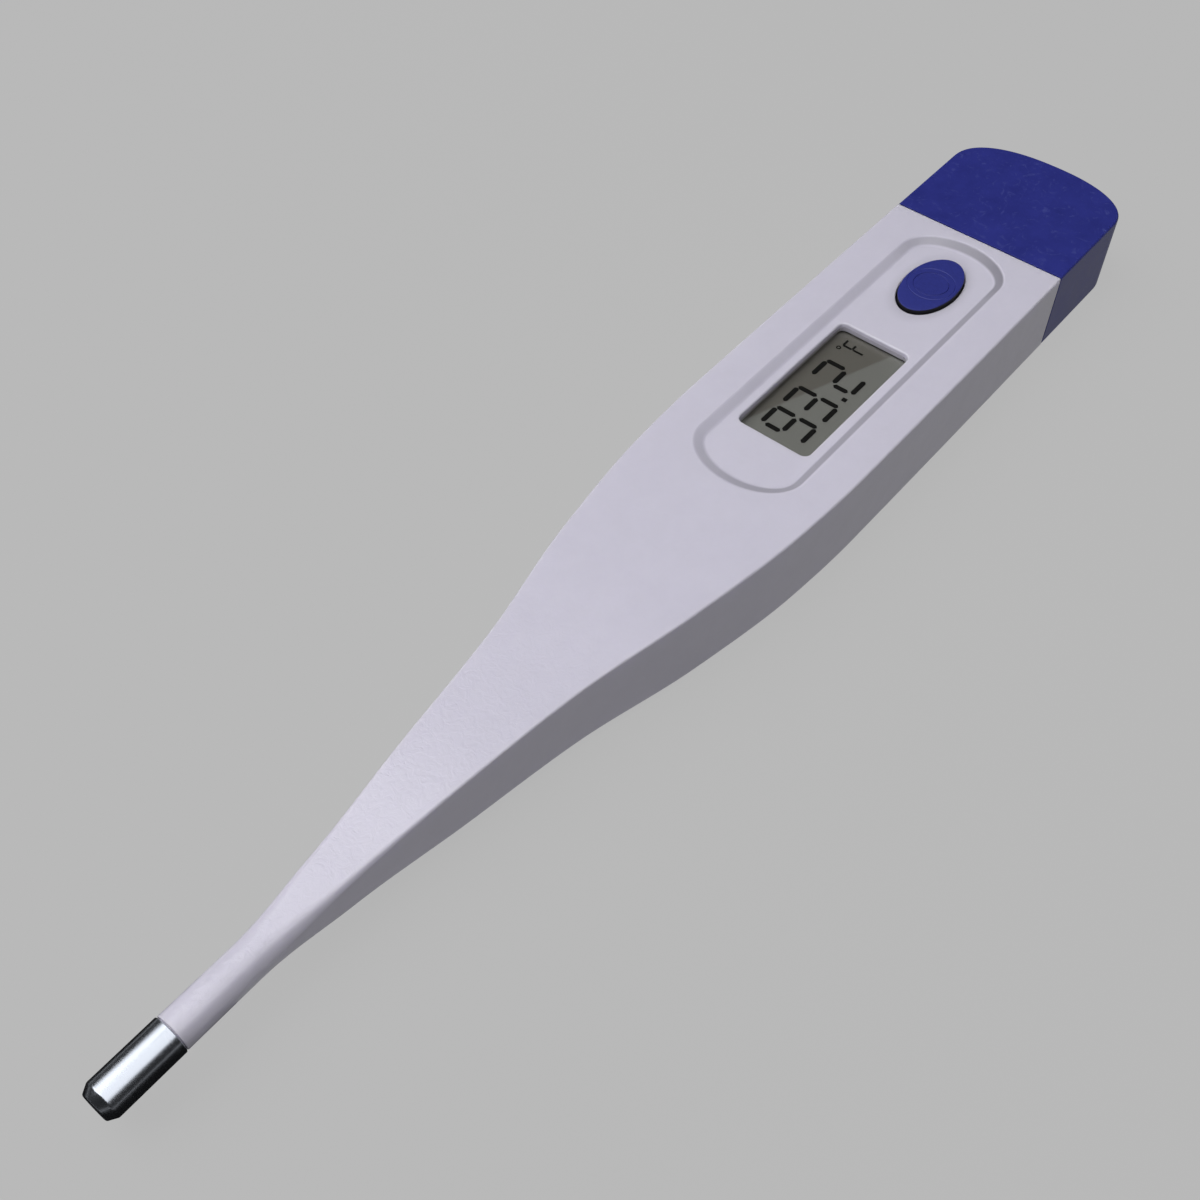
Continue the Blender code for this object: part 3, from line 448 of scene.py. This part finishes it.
def plainFinish(name, colour, roughness, metallic=0.0, tone=0.08):
    # small inner pieces: a base tone with a speckle that varies the gloss, and a faint bump. The
    # speckle's 0.4 mm is a guess
    material, tree, shader, place = startMaterial(name, {"Metallic": metallic})
    speckle = addNode(tree, "ShaderNodeTexNoise", {
        "Vector": place, "Scale": 1000 / 0.4, "Detail": 4.0, "Roughness": 0.6})
    shade = colourBy(tree, linear(colour)[:3], spread(tree, speckle, 1 - tone, 1 + tone))
    tree.links.new(shade, shader.inputs["Base Color"])
    gloss = spread(tree, speckle, roughness * 0.9, roughness * 1.1)
    tree.links.new(gloss, shader.inputs["Roughness"])
    liftNormal(tree, shader, speckle.outputs["Fac"], 0.003)
    return material


def drawnSteel(name):
    # stainless steel, deep drawn and polished on a lathe: faint rings round the cup, 0.45 mm
    # apart. That is far coarser than polishing marks, which would turn to grain in a picture
    material, tree, shader, place = startMaterial(name, {"Metallic": 1.0})
    along = addNode(tree, "ShaderNodeMapping", {
        "Vector": place, "Scale": (1.0, 0.04, 0.04)})
    rings = addNode(tree, "ShaderNodeTexNoise", {
        "Vector": along.outputs["Vector"], "Scale": 1000 / 0.45, "Detail": 2.0})
    shade = colourBy(tree, linear("b4b9c2")[:3], spread(tree, rings, 0.985, 1.01))
    tree.links.new(shade, shader.inputs["Base Color"])
    tree.links.new(spread(tree, rings, 0.255, 0.275), shader.inputs["Roughness"])
    return material


def clearPane(name, tint, shine, roughness):
    # a clear sheet: light goes straight through it, with a faint reflection on top. The IOR of
    # 1.2 is given, below the 1.49 of acrylic, so that the sheet mirrors less
    material, tree, shader, place = startMaterial(name, {})
    tree.nodes.remove(shader)
    haze = addNode(tree, "ShaderNodeTexNoise", {
        "Vector": place, "Scale": 1000 / 2.5, "Detail": 3.0})
    clear = addNode(tree, "ShaderNodeBsdfTransparent", {"Color": linear(tint)})
    blur = addNode(tree, "ShaderNodeMapRange", {
        "Value": haze.outputs["Fac"], "To Min": roughness * 0.6, "To Max": roughness * 1.4})
    gloss = addNode(tree, "ShaderNodeBsdfGlossy", {"Roughness": blur.outputs["Result"]})
    edge = addNode(tree, "ShaderNodeFresnel", {"IOR": 1.2})
    share = addNode(tree, "ShaderNodeMath", {
        0: edge.outputs["Fac"], 1: shine}, operation="MULTIPLY")
    mixed = addNode(tree, "ShaderNodeMixShader", {
        0: share.outputs["Value"], 1: clear.outputs[0], 2: gloss.outputs[0]})
    tree.links.new(mixed.outputs[0], tree.nodes["Material Output"].inputs["Surface"])
    return material


# the housing: one moulding from the probe to the neck that the cap slides over

housingSpec = {
    "seam": 0.15,               # between the housing and the cap
    "tipGap": 0.1,
    "probeBore": 1.4,
    "boreReach": 8.3,           # past the probe's straight stretch
    "spigot": (3.2, 1.3),       # length and radius of the end inside the steel tip
    "edge": 0.18,               # radius of the handle's long edges
    "mouthEdge": 0.07,
    "shaftEdge": 0.05,
    "shaftStep": 1.5,
    "endGap": 1,                # between even rings and the edges next to them
    "neckEdge": (0.25, 0.2),    # length and depth of the bevel on the neck's end
    "boreBlend": 3,             # from the end of the bore to the first ring of the cavity
    "neckBlend": (1.6, 0.8),    # the cavity's last ring and the neck's first, before the mouth
    "overcut": 1,               # how far a cutter reaches past what it cuts
    "flare": (0.02, 0.3),       # how far it widens and rises above the recess's floor
    "stations": [               # from the steel tip: half width, then top, back and corner shares
        (6.6, 1.55, 1.0, 1.0, 1.0),
        (14.9, 1.975, 0.84, 0.88, 0.30),
        (25.85, 3.175, 0.41, 0.58, 0.02),
        (36.8, 4.6, 0.19, 0.40, 0.0),
        (49.0, 7.15, 0.0, 0.18, 0.0),
        (61.4, 8.85, 0.0, 0.04, 0.0),
        (69.8, 9.23, 0.0, 0.0, 0.0),
        (104.3, 9.35, 0.0, 0.0, 0.0),
    ],
    "step": 0.8,                # between rings, outside and in
    "cavityStep": 4,
    "wall": 1.2,
    "neckInset": 1.25,
    "neckCorner": 1.2,
    "neckWall": 0.9,
    "groove": (0.75, 0.5),      # width and depth of the seal's groove
    "recess": {"length": 41.6, "width": 11.3, "end": 4.2, "slope": 1.2, "endSlope": 1.6, "depth": 0.5,
               "fromCap": 1.0,
               # the wall: rings, softened share at each end, how much of it lies inside the
               # outline, and how far it rises past the top so that the cut is clean
               "wallSteps": 16, "wallSoft": 0.16, "wallShare": 0.94, "wallRise": 1.012},
    "window": {"length": 17.0, "width": 7.6, "corner": 0.7, "rim": 0.16, "fromCap": 18.35},
    "hole": {"gap": 0.15, "rim": 0.12},
    "rimTurn": 78,              # degrees that the rims of window and hole turn before the floor
}
buttonSpec = {
    "length": 8.9, "width": 5.25, "power": 2.0, "steps": 96, "fromCap": 8.7,
    "stem": 1.1, "flange": 0.8, "flangeHeight": 0.6, "flangeGap": 0.15, "edge": 0.07,
    "crown": 0.04, "blend": (2.45, 6),      # radius and steps of the turn from oval to circle
    "rings": ((1.72, 0.07, 0.08), (2.33, 0.07, 0.04)),   # radius, half width, depth
}

tipLow, tipHigh = boxMm("sensor_tip")
capLow, capHigh = boxMm("cap")
shellLow, shellHigh = boxMm("housing")
paneLow, paneHigh = boxMm("window_lens")
keyLow, keyHigh = boxMm("button")

shaftFront = tipHigh.x + housingSpec["tipGap"]
mouth = capLow.x - housingSpec["seam"]
top = capHigh.z
axisZ = (tipLow.z + tipHigh.z) / 2
shaftRadius = housingSpec["stations"][0][1]
recessFloor = top - housingSpec["recess"]["depth"]
ceiling = paneLow.z - 0.05
windowX = mouth - housingSpec["window"]["fromCap"] - housingSpec["window"]["length"] / 2
buttonX = mouth - buttonSpec["fromCap"]


def smoothValue(x, column):
    # monotone cubic through the stations, so that no stretch overshoots its ends
    xs = [shaftFront + row[0] for row in housingSpec["stations"]]
    ys = [row[column] for row in housingSpec["stations"]]
    x = min(max(x, xs[0]), xs[-1])
    slopes = [(b - a) / (d - c) for a, b, c, d in zip(ys, ys[1:], xs, xs[1:])]
    tangents = [0.0]
    for before, after in zip(slopes, slopes[1:]):
        sameWay = before * after > 0
        tangents.append(2 * before * after / (before + after) if sameWay else 0.0)
    tangents.append(0.0)
    i = max(k for k in range(len(xs) - 1) if xs[k] <= x)
    span = xs[i + 1] - xs[i]
    t = (x - xs[i]) / span
    return ((2 * t ** 3 - 3 * t ** 2 + 1) * ys[i] + (t ** 3 - 2 * t ** 2 + t) * span * tangents[i]
            + (3 * t ** 2 - 2 * t ** 3) * ys[i + 1] + (t ** 3 - t ** 2) * span * tangents[i + 1])


def outerLimits(x):
    back = smoothValue(x, 3) * (axisZ - shaftRadius)
    high = top - smoothValue(x, 2) * (top - axisZ - shaftRadius)
    corner = housingSpec["edge"] + smoothValue(x, 4) * (shaftRadius - housingSpec["edge"])
    return smoothValue(x, 1), back, high, corner


def disc(x, radius):
    return section(x, radius, axisZ - radius, axisZ + radius, radius)


def spaced(start, end, step):
    count = max(1, round((end - start) / step))
    return [start + (end - start) * i / count for i in range(count + 1)]


def neckSection(x, depth=0.0):
    inset = housingSpec["neckInset"] + depth
    half = capHigh.y - inset
    return section(x, half, inset, top - inset, housingSpec["neckCorner"] - depth)


def rimRows(rim, steps):
    # growth and height of a cutter whose upper edge is rounded off into the recess's floor
    spec = housingSpec
    start = recessFloor - rim
    rows = [(0, ceiling - spec["overcut"]), (0, start)]
    rows += [(rise, start + inset) for inset, rise in fillet(rim, steps, spec["rimTurn"])[1:]]
    wider, higher = spec["flare"]
    return rows + [(rows[-1][0] + wider, recessFloor + higher)]


def makeHousing(material):
    spec = housingSpec
    spigotLength, spigotRadius = spec["spigot"]
    shaftEnd = shaftFront + spec["stations"][0][0]
    neckEnd = shellHigh.x
    grooveHalf, grooveDepth = spec["groove"][0] / 2, spec["groove"][1]
    grooveX = (mouth + neckEnd) / 2
    rings = [disc(shaftFront - spigotLength, spigotRadius), disc(shaftFront, spigotRadius)]
    rings += [disc(shaftFront, shaftRadius - spec["shaftEdge"]),
              disc(shaftFront + spec["shaftEdge"], shaftRadius)]
    rings += [disc(x, shaftRadius) for x in spaced(
        shaftFront + spec["endGap"], shaftEnd - spec["endGap"], spec["shaftStep"])]
    rings += [section(x, *outerLimits(x))
              for x in spaced(shaftEnd, mouth - spec["endGap"], spec["step"])]
    half, back, high, corner = outerLimits(mouth)
    for out, rise in fillet(spec["mouthEdge"], 3):
        x = mouth - spec["mouthEdge"] + out
        rings.append(section(x, half - rise, back + rise, high - rise, corner))
    rings += [neckSection(x) for x in (mouth, grooveX - grooveHalf)]
    rings += [neckSection(x, grooveDepth) for x in (grooveX - grooveHalf, grooveX + grooveHalf)]
    bevelLength, bevelDepth = spec["neckEdge"]
    rings += [neckSection(x) for x in (grooveX + grooveHalf, neckEnd - bevelLength)]
    rings += [neckSection(neckEnd, bevelDepth)]
    shell = toObject("shell", loft(rings))

    boreFront = shaftFront - spigotLength - spec["overcut"]
    boreEnd = shaftEnd + spec["boreReach"]
    cavity = [disc(x, spec["probeBore"] / 2) for x in (boreFront, boreEnd)]
    beforeMouth, inNeck = spec["neckBlend"]
    for x in spaced(boreEnd + spec["boreBlend"], mouth - beforeMouth, spec["cavityStep"]):
        half, back, high, _ = outerLimits(x)
        innerTop = min(high - spec["wall"], ceiling)
        innerBack = min(back + spec["wall"], innerTop - spec["probeBore"])
        cavity.append(section(x, half - spec["wall"], innerBack, innerTop, spec["edge"]))
    inner = spec["neckInset"] + spec["neckWall"]
    cavity += [section(x, capHigh.y - inner, inner, top - inner, spec["edge"])
               for x in (mouth - inNeck, neckEnd + spec["overcut"])]
    cutters = [toObject("cavity", loft(cavity))]

    recess = spec["recess"]
    recessX = mouth - recess["fromCap"] - recess["length"] / 2
    # the wall's height across its slope: straight, with a soft start and end
    rows = [(0, 0)]
    steps, soft = recess["wallSteps"], recess["wallSoft"]
    for i in range(1, steps + 1):
        t = i / steps
        if t < soft:
            rise = t ** 2 / (2 * soft * (1 - soft))
        elif t > 1 - soft:
            rise = 1 - (1 - t) ** 2 / (2 * soft * (1 - soft))
        else:
            rise = (t - soft / 2) / (1 - soft)
        rows.append((t, recess["wallRise"] * rise))
    rings = []
    for t, rise in rows + [(1, 3)]:
        sideways, endways = ((t - recess["wallShare"]) * recess[kind]
                             for kind in ("slope", "endSlope"))
        rings.append(atHeight(longOval(
            recessX, recess["length"] / 2 + endways, recess["width"] / 2 + sideways,
            recess["end"] + endways, 32), recessFloor + rise * recess["depth"]))
    cutters.append(toObject("recess", loft(rings)))

    window, hole = spec["window"], spec["hole"]
    rings = [atHeight(roundedBox(windowX, window["length"] / 2 + grow, window["width"] / 2 + grow,
                                 window["corner"] + grow, 8), z)
             for grow, z in rimRows(window["rim"], 5)]
    cutters.append(toObject("window", loft(rings)))
    rings = [atHeight(keyOutline(hole["gap"] + grow), z) for grow, z in rimRows(hole["rim"], 4)]
    cutters.append(toObject("hole", loft(rings)))
    settle("housingShell", carve(shell, cutters), material, "root", ["housing"])


def keyOutline(grow):
    return superellipse(buttonX, buttonSpec["length"] / 2 + grow, buttonSpec["width"] / 2 + grow,
                        buttonSpec["power"], buttonSpec["steps"])


def keyCircle(radius):
    return superellipse(buttonX, radius, radius, 2, buttonSpec["steps"])


# the cap: a shell with straight sides and a squarish round end

capSpec = {
    "rounding": 5.15, "power": 2.3, "edge": 0.25, "wall": 1.1, "endWall": 1.2,
    "mouthEdge": 0.06, "innerEdge": 0.3, "steps": 120,
}


def capOutline(front, side, end):
    start = capHigh.x - capSpec["rounding"]
    whole = superellipse(start, capSpec["rounding"] - end, capHigh.y - side,
                         capSpec["power"], capSpec["steps"])
    rounded = sorted((p for p in whole if p[0] >= start - 1e-6), key=lambda p: p[1])
    return [(front, rounded[0][1])] + rounded + [(front, rounded[-1][1])]


def pillow(outline, low, high, radius, steps):
    # an outline raised from low to high with rounded rims; outline gives the points at an inset
    arc = fillet(radius, steps)
    rings = [atHeight(outline(radius - out), low + rise) for out, rise in arc]
    rings += [atHeight(outline(radius - out), high - rise) for out, rise in reversed(arc)]
    return loft(rings)


def makeCap(material):
    spec = capSpec
    body = toObject("capBody", pillow(
        lambda inset: capOutline(capLow.x, inset, inset), capLow.z, top, spec["edge"], 5))
    hollow = toObject("capHollow", pillow(
        lambda inset: capOutline(capLow.x - 1, spec["wall"] + inset, spec["endWall"] + inset),
        spec["wall"], top - spec["wall"], spec["innerEdge"], 4))
    bm = carve(body, [hollow])
    rim = [e for e in bm.edges if all(abs(v.co.x - capLow.x) < 1e-4 for v in e.verts)
           and len(e.link_faces) == 2
           and sum(abs(f.normal.x) > 0.99 for f in e.link_faces) == 1]
    bmesh.ops.bevel(bm, geom=rim, offset=spec["mouthEdge"], segments=2, profile=0.5,
                    affect="EDGES", material=-1)
    settle("capShell", bm, material, "cap", ["cap"])


# the button: a rubber key with turned rings in its top

def makeButton(material):
    spec = buttonSpec
    flangeTop = ceiling - spec["flangeGap"]
    flangeBottom = flangeTop - spec["flangeHeight"]
    rings = [atHeight(keyCircle(spec["stem"]), z) for z in (keyLow.z, flangeBottom)]
    rings += [atHeight(keyOutline(spec["flange"]), z) for z in (flangeBottom, flangeTop)]
    edgeTop = keyHigh.z - spec["crown"]
    rings += [atHeight(keyOutline(0), flangeTop)]
    rings += [atHeight(keyOutline(-rise), edgeTop - spec["edge"] + out)
              for out, rise in fillet(spec["edge"], 5)]
    # from the rim to the rings the outline turns from the key's into a circle
    radius, steps = spec["blend"]
    for i in range(1, steps + 1):
        t = i / steps
        z = edgeTop + spec["crown"] * (1 - (1 - t) ** 2)
        rings.append([(a[0] + (b[0] - a[0]) * t, a[1] + (b[1] - a[1]) * t, z)
                      for a, b in zip(keyOutline(-spec["edge"]), keyCircle(radius))])
    profile = []
    for radius, half, depth in reversed(spec["rings"]):
        profile += [(radius + half, 0), (radius + half / 2, depth * 0.75), (radius, depth),
                    (radius - half / 2, depth * 0.75), (radius - half, 0)]
    profile.append((0.3, 0))
    rings += [atHeight(keyCircle(radius), keyHigh.z - depth) for radius, depth in profile]
    settle("buttonKey", loft(rings), material, "button", ["button"])


def keyRubber(name):
    # silicone rubber, pressed: matt, with painted shade that turns its skirt near black
    material, tree, shader, place = startMaterial(name, {"Roughness": 0.55, "IOR": 1.43})
    fine = addNode(tree, "ShaderNodeTexNoise", {
        "Vector": place, "Scale": 1000 / 0.35, "Detail": 4.0, "Roughness": 0.6})
    axes = addNode(tree, "ShaderNodeSeparateXYZ", {"Vector": place})
    # painted shade: below the top edge the blue turns near black
    height = addNode(tree, "ShaderNodeMapRange", {
        "Value": axes.outputs["Z"], "From Min": (keyHigh.z - 0.13) * mm,
        "From Max": (keyHigh.z - 0.09) * mm})
    toned = colourBy(tree, linear("2c3385")[:3], spread(tree, fine, 0.9, 1.1))
    shade = addNode(tree, "ShaderNodeMix", {
        "Factor": height.outputs["Result"], 6: linear("07070d"), 7: toned},
        data_type="RGBA")
    tree.links.new(shade.outputs[2], shader.inputs["Base Color"])
    liftNormal(tree, shader, fine.outputs["Fac"], 0.006)
    return material


# the steel tip: a cup spun round the probe's axis

tipSpec = {
    "wall": 0.2, "nose": (0.7, 0.4),    # the nose's chamfer, along the axis and across it
    "soft": 0.1, "rimEdge": 0.05, "steps": 72,
}


def makeTip(material):
    spec = tipSpec
    outer = (tipHigh.z - tipLow.z) / 2
    long, across = spec["nose"]
    soft = spec["soft"]
    # the chamfer's two corners are softened by a point or two each
    profile = [(tipLow.x, 0.0), (tipLow.x, outer - across - soft)]
    profile += [(tipLow.x + soft * 0.35, outer - across - soft * 0.2),
                (tipLow.x + soft * 0.8, outer - across + soft * 0.3)]
    profile += [(tipLow.x + long - soft * 0.6, outer - soft * 0.45),
                (tipLow.x + long - soft * 0.1, outer - soft * 0.15),
                (tipLow.x + long + soft, outer)]
    profile += [(tipHigh.x - spec["rimEdge"], outer), (tipHigh.x, outer - spec["rimEdge"])]
    inner = outer - spec["wall"]
    profile += [(tipHigh.x, inner), (tipLow.x + long + spec["wall"] / 2, inner)]
    profile += [(tipLow.x + spec["wall"], inner - across), (tipLow.x + spec["wall"], 0.0)]
    bm = bmesh.new()
    verts = [bm.verts.new((x, 0, axisZ + r)) for x, r in profile]
    edges = [bm.edges.new(pair) for pair in zip(verts, verts[1:])]
    bmesh.ops.spin(bm, geom=verts + edges, cent=(0, 0, axisZ), axis=(1, 0, 0),
                   angle=math.tau, steps=spec["steps"], use_merge=True)
    settle("steelTip", bm, material, "root", ["sensor_tip"])


# the display: a clear pane, a film, the cell's front glass and the dark segments on it

displaySpec = {
    # where each digit's left bars are, and which of its seven bars are dark
    "digits": ((14.21, "abcdfg"), (17.63, "abcdg"), (22.28, "abdeg")),
    "columns": 2.44,            # between the middles of a digit's upright bars
    "rows": (2.45, 0.27, -1.87),
    "upright": {"b": (2.5, 0.45), "c": (0.05, -1.9), "e": (0.13, -1.48), "f": (2.08, 0.43)},
    "stroke": 0.50,
    "nose": 0.20,               # length of a bar's pointed end
    "point": (21.28, -1.76, 0.48),
    "degree": (26.90, 2.64, 0.13),
    "degreeOuter": 1.9,         # times the inner radius
    "lift": 0.008,              # above the cell's front glass
    "unit": {"x": 27.44, "arm": 28.28, "middleArm": 28.08, "low": 0.29, "middle": 1.46,
             "high": 2.47, "stroke": 0.22},
    "thickness": 0.03,
}


def inkBar(bm, start, end, width, z, nose=0.0):
    # a flat bar, with pointed ends as on seven-segment displays when it has a nose
    start, end = Vector(start), Vector(end)
    along = (end - start).normalized()
    side = Vector((-along.y, along.x)) * width / 2
    point = along * nose
    outline = [start, start + point + side, end - point + side, end, end - point - side,
               start + point - side]
    if not nose:
        outline = [start + side, end + side, end - side, start - side]
    face = bm.faces.new([bm.verts.new((p.x, p.y, z)) for p in outline])
    drawn = newVerts(bmesh.ops.extrude_face_region(bm, geom=[face]))
    bmesh.ops.translate(bm, verts=drawn, vec=(0, 0, displaySpec["thickness"]))


def makeSegments(material):
    spec = displaySpec
    _, glassHigh = boxMm("lcd_front_glass")
    z = glassHigh.z + spec["lift"]
    bm = bmesh.new()
    upper, middle, lower = spec["rows"]
    for x0, shown in spec["digits"]:
        x1 = x0 + spec["columns"]
        bars = {"a": ((x0, upper), (x1 - 0.17, upper)),
                "d": ((x0 + 0.04, lower), (x1 - 0.2, lower)),
                "g": ((x0 + 0.22, middle), (x1 - 0.2, middle))}
        for letter, ends in spec["upright"].items():
            x = x1 if letter in "bc" else x0
            bars[letter] = [(x, y) for y in ends]
        for letter in shown:
            inkBar(bm, *bars[letter], spec["stroke"], z, spec["nose"])
    x, y, size = spec["point"]
    inkBar(bm, (x - size / 2, y), (x + size / 2, y), size, z)
    unit = spec["unit"]
    x, low, middle, high = (unit[key] for key in ("x", "low", "middle", "high"))
    for start, end in (((x, low), (x, middle - 0.08)), ((x, middle + 0.08), (x, high)),
                       ((x + 0.05, high), (unit["arm"], high)),
                       ((x + 0.05, middle), (unit["middleArm"], middle))):
        inkBar(bm, start, end, unit["stroke"], z)
    x, y, radius = spec["degree"]
    ring = bmesh.ops.create_circle(bm, cap_ends=False, segments=24, radius=radius,
                                   matrix=Matrix.Translation((x, y, z)))
    edges = [e for e in bm.edges if all(v in ring["verts"] for v in e.verts)]
    outward = newVerts(bmesh.ops.extrude_edge_only(bm, edges=edges))
    bmesh.ops.scale(bm, verts=outward, vec=(spec["degreeOuter"], spec["degreeOuter"], 1),
                    space=Matrix.Translation((-x, -y, -z)))
    flat = [f for f in bm.faces if all(v in outward or v in ring["verts"] for v in f.verts)]
    raised = newVerts(bmesh.ops.extrude_face_region(bm, geom=flat))
    bmesh.ops.translate(bm, verts=raised, vec=(0, 0, spec["thickness"]))
    settle("lcdSegments", bm, material, "root", [])


def makePane(material):
    length, width = paneHigh.x - paneLow.x, paneHigh.y - paneLow.y
    middle = (paneHigh.x + paneLow.x) / 2
    corner = housingSpec["window"]["corner"] - 0.1
    bm = pillow(lambda inset: roundedBox(middle, length / 2 - inset, width / 2 - inset,
                                         corner - inset, 8), paneLow.z, paneHigh.z, 0.05, 2)
    settle("windowPane", bm, material, "root", ["window_lens"])


def cellGlass(name):
    # the display's own face: a grey-green cell with a darker half, painted in as if its film
    # mirrored a dark thing, so it stays under any light. Its 0.12 mm grain is a guess
    material, tree, shader, place = startMaterial(name, {"Roughness": 0.35})
    grain = addNode(tree, "ShaderNodeTexNoise", {
        "Vector": place, "Scale": 1000 / 0.12, "Detail": 2.0})
    axes = addNode(tree, "ShaderNodeSeparateXYZ", {"Vector": place})
    slant = addNode(tree, "ShaderNodeMath", {
        0: axes.outputs["X"], 1: 0.36, 2: axes.outputs["Y"]}, operation="MULTIPLY_ADD")
    half = addNode(tree, "ShaderNodeMapRange", {
        "Value": slant.outputs["Value"], "From Min": 8.45 * mm, "From Max": 8.75 * mm})
    tone = addNode(tree, "ShaderNodeMix", {
        "Factor": half.outputs["Result"], 6: linear("a6aaa4"), 7: linear("8c8c84")},
        data_type="RGBA")
    shade = colourBy(tree, tone.outputs[2], spread(tree, grain, 0.96, 1.04))
    tree.links.new(shade, shader.inputs["Base Color"])
    return material


# what shows when the cap is off: cell, tray, contacts and seal

def makeBattery(material):
    low, high = boxMm("battery")
    x = (low.x + high.x) / 2
    radius = (high.x - low.x) / 2
    profile = [(0, low.z)]
    profile += [(radius - 0.25 + out, low.z + rise) for out, rise in fillet(0.25, 5)]
    # the can's crimped rim, the groove of its seal, then the negative lid
    profile += [(radius - inset, high.z - drop) for inset, drop in (
        (0, 0.5), (0.1, 0.36), (0.3, 0.3), (0.6, 0.3), (0.65, 0.34), (0.78, 0.34),
        (0.82, 0.12), (0.95, 0))]
    profile.append((0, high.z))
    bm = bmesh.new()
    verts = [bm.verts.new((x + r, 0, z)) for r, z in profile]
    edges = [bm.edges.new(pair) for pair in zip(verts, verts[1:])]
    bmesh.ops.spin(bm, geom=verts + edges, cent=(x, 0, 0), axis=(0, 0, 1), angle=math.tau,
                   steps=72, use_merge=True)
    settle("buttonCell", bm, material, "root", ["battery"])


def roundedCopy(name, node, material, radius):
    # a CAD piece with its loose triangles merged and its edges rounded off
    bm = bmesh.new()
    bm.from_mesh(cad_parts[node].data)
    bm.transform(Matrix.Scale(1 / mm, 4))
    bmesh.ops.remove_doubles(bm, verts=bm.verts, dist=0.001)
    bmesh.ops.dissolve_limit(bm, angle_limit=math.radians(1), verts=bm.verts, edges=bm.edges)
    faceOutwards(bm)
    edges = [e for e in bm.edges if len(e.link_faces) == 2
             and e.calc_face_angle() > math.radians(50)]
    bmesh.ops.bevel(bm, geom=edges, offset=radius, segments=2, profile=0.5, affect="EDGES",
                    material=-1, clamp_overlap=True)
    return settle(name, bm, material, "root", [node])


def makeDome(material):
    # the snap dome under the button's stem: a rounded copy, given a mesh of its own
    dome = roundedCopy("snapDome", "switch_dome", material, 0.015)
    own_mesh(dome)


def makeSeal(material):
    low, high = boxMm("cap_seal")
    thick = (high.x - low.x) / 2
    x = (low.x + high.x) / 2
    depth = housingSpec["groove"][1] - thick - 0.05
    path = neckSection(x, depth)
    curve = bpy.data.curves.new("seal", "CURVE")
    curve.dimensions = "3D"
    curve.bevel_depth = thick
    curve.bevel_resolution = 4
    spline = curve.splines.new("POLY")
    spline.points.add(len(path) - 1)
    for knot, point in zip(spline.points, path):
        knot.co = (*point, 1)
    spline.use_cyclic_u = True
    drawn = bpy.data.objects.new("seal", curve)
    bpy.context.scene.collection.objects.link(drawn)
    bm = bmesh.new()
    ready = drawn.evaluated_get(bpy.context.evaluated_depsgraph_get())
    bm.from_mesh(bpy.data.meshes.new_from_object(ready))
    bpy.data.objects.remove(drawn)
    settle("sealRing", bm, material, "root", ["cap_seal"])


makeCamera()
makeStudio()
print("camera and studio ready")

whiteAbs = mouldedAbs("white ABS, satin moulded", "dddae9", 0.24, walls=True)
blueAbs = mouldedAbs("blue ABS, satin moulded", "2c3288", 0.42, grainHeight=0.008, mottle=0.12,
                     wear=0.9)
makeHousing(whiteAbs)
makeCap(blueAbs)
makeButton(keyRubber("blue silicone, pressed"))
makeTip(drawnSteel("stainless steel, drawn and polished"))
makePane(clearPane("acrylic, coated", "f8f8f8", 0.5, 0.05))
makeSegments(plainFinish("display segments, dark dye", "060806", 0.6))
makeBattery(plainFinish("nickel plate, rolled", "c2c3c4", 0.48, 1.0, tone=0.03))
trayAbs = mouldedAbs("ivory ABS, satin moulded", "dedbd2", 0.45)
roundedCopy("batteryTray", "battery_holder", trayAbs, 0.08)
nickel = plainFinish("nickel plate on spring strip", "b9b6ae", 0.45, 1.0, tone=0.03)
roundedCopy("positiveContact", "battery_contact_positive", nickel, 0.03)
roundedCopy("negativeContact", "battery_contact_negative", nickel, 0.03)
makeSeal(plainFinish("black silicone ring", "26282e", 0.5))
makeDome(plainFinish("spring steel, stamped", "c4c6c8", 0.25, 1.0))
print("pieces ready")

copper = plainFinish("enamelled copper wire", "b5672f", 0.3, 1.0)    # warm, shiny
ceramic = plainFinish("resistor ceramic", "1b1c1f", 0.5)    # matt, nearly black
inner = {
    "lcd_front_polariser": clearPane("polariser film, matt", "f5f4f4", 0.2, 0.3),    # a soft veil
    "lcd_front_glass": cellGlass("display cell glass"),
    "lcd_rear_glass": plainFinish("float glass, thin", "8f9a92", 0.1),    # glossy grey-green
    "lcd_rear_reflector": plainFinish("reflector film, brushed foil", "6e726c", 0.4, 0.6),    # dull
    "lcd_frame": trayAbs,
    "zebra_strip": plainFinish("zebra elastomer", "d9a0a6", 0.7),    # matt pink
    "circuit_board": plainFinish("glass laminate, green mask", "1e5b38", 0.45),    # satin green
    "chip_blob": plainFinish("epoxy drop, black", "121314", 0.25),    # wet-looking black
    "reference_resistor": ceramic,
    "oscillator_resistor": ceramic,
    "supply_capacitor": plainFinish("capacitor ceramic", "a67c52", 0.5),    # matt tan
    "buzzer_plate": plainFinish("brass sheet, rolled", "c9a24b", 0.3, 1.0),    # yellow metal
    "buzzer_ceramic": plainFinish("piezo ceramic, silvered", "d8d2c4", 0.4, 0.3),    # pale sheen
    "buzzer_lead_1": copper,
    "buzzer_lead_2": copper,
    "lead_wire_1": copper,
    "lead_wire_2": copper,
    "thermistor": plainFinish("glass bead, fired", "8a4b2a", 0.15),    # glossy brown
    "tip_potting": plainFinish("epoxy potting, filled", "3a3b3e", 0.5),    # dull grey
}
for node, material in inner.items():
    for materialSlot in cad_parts[node].material_slots:
        materialSlot.material = material
print("inner pieces finished")
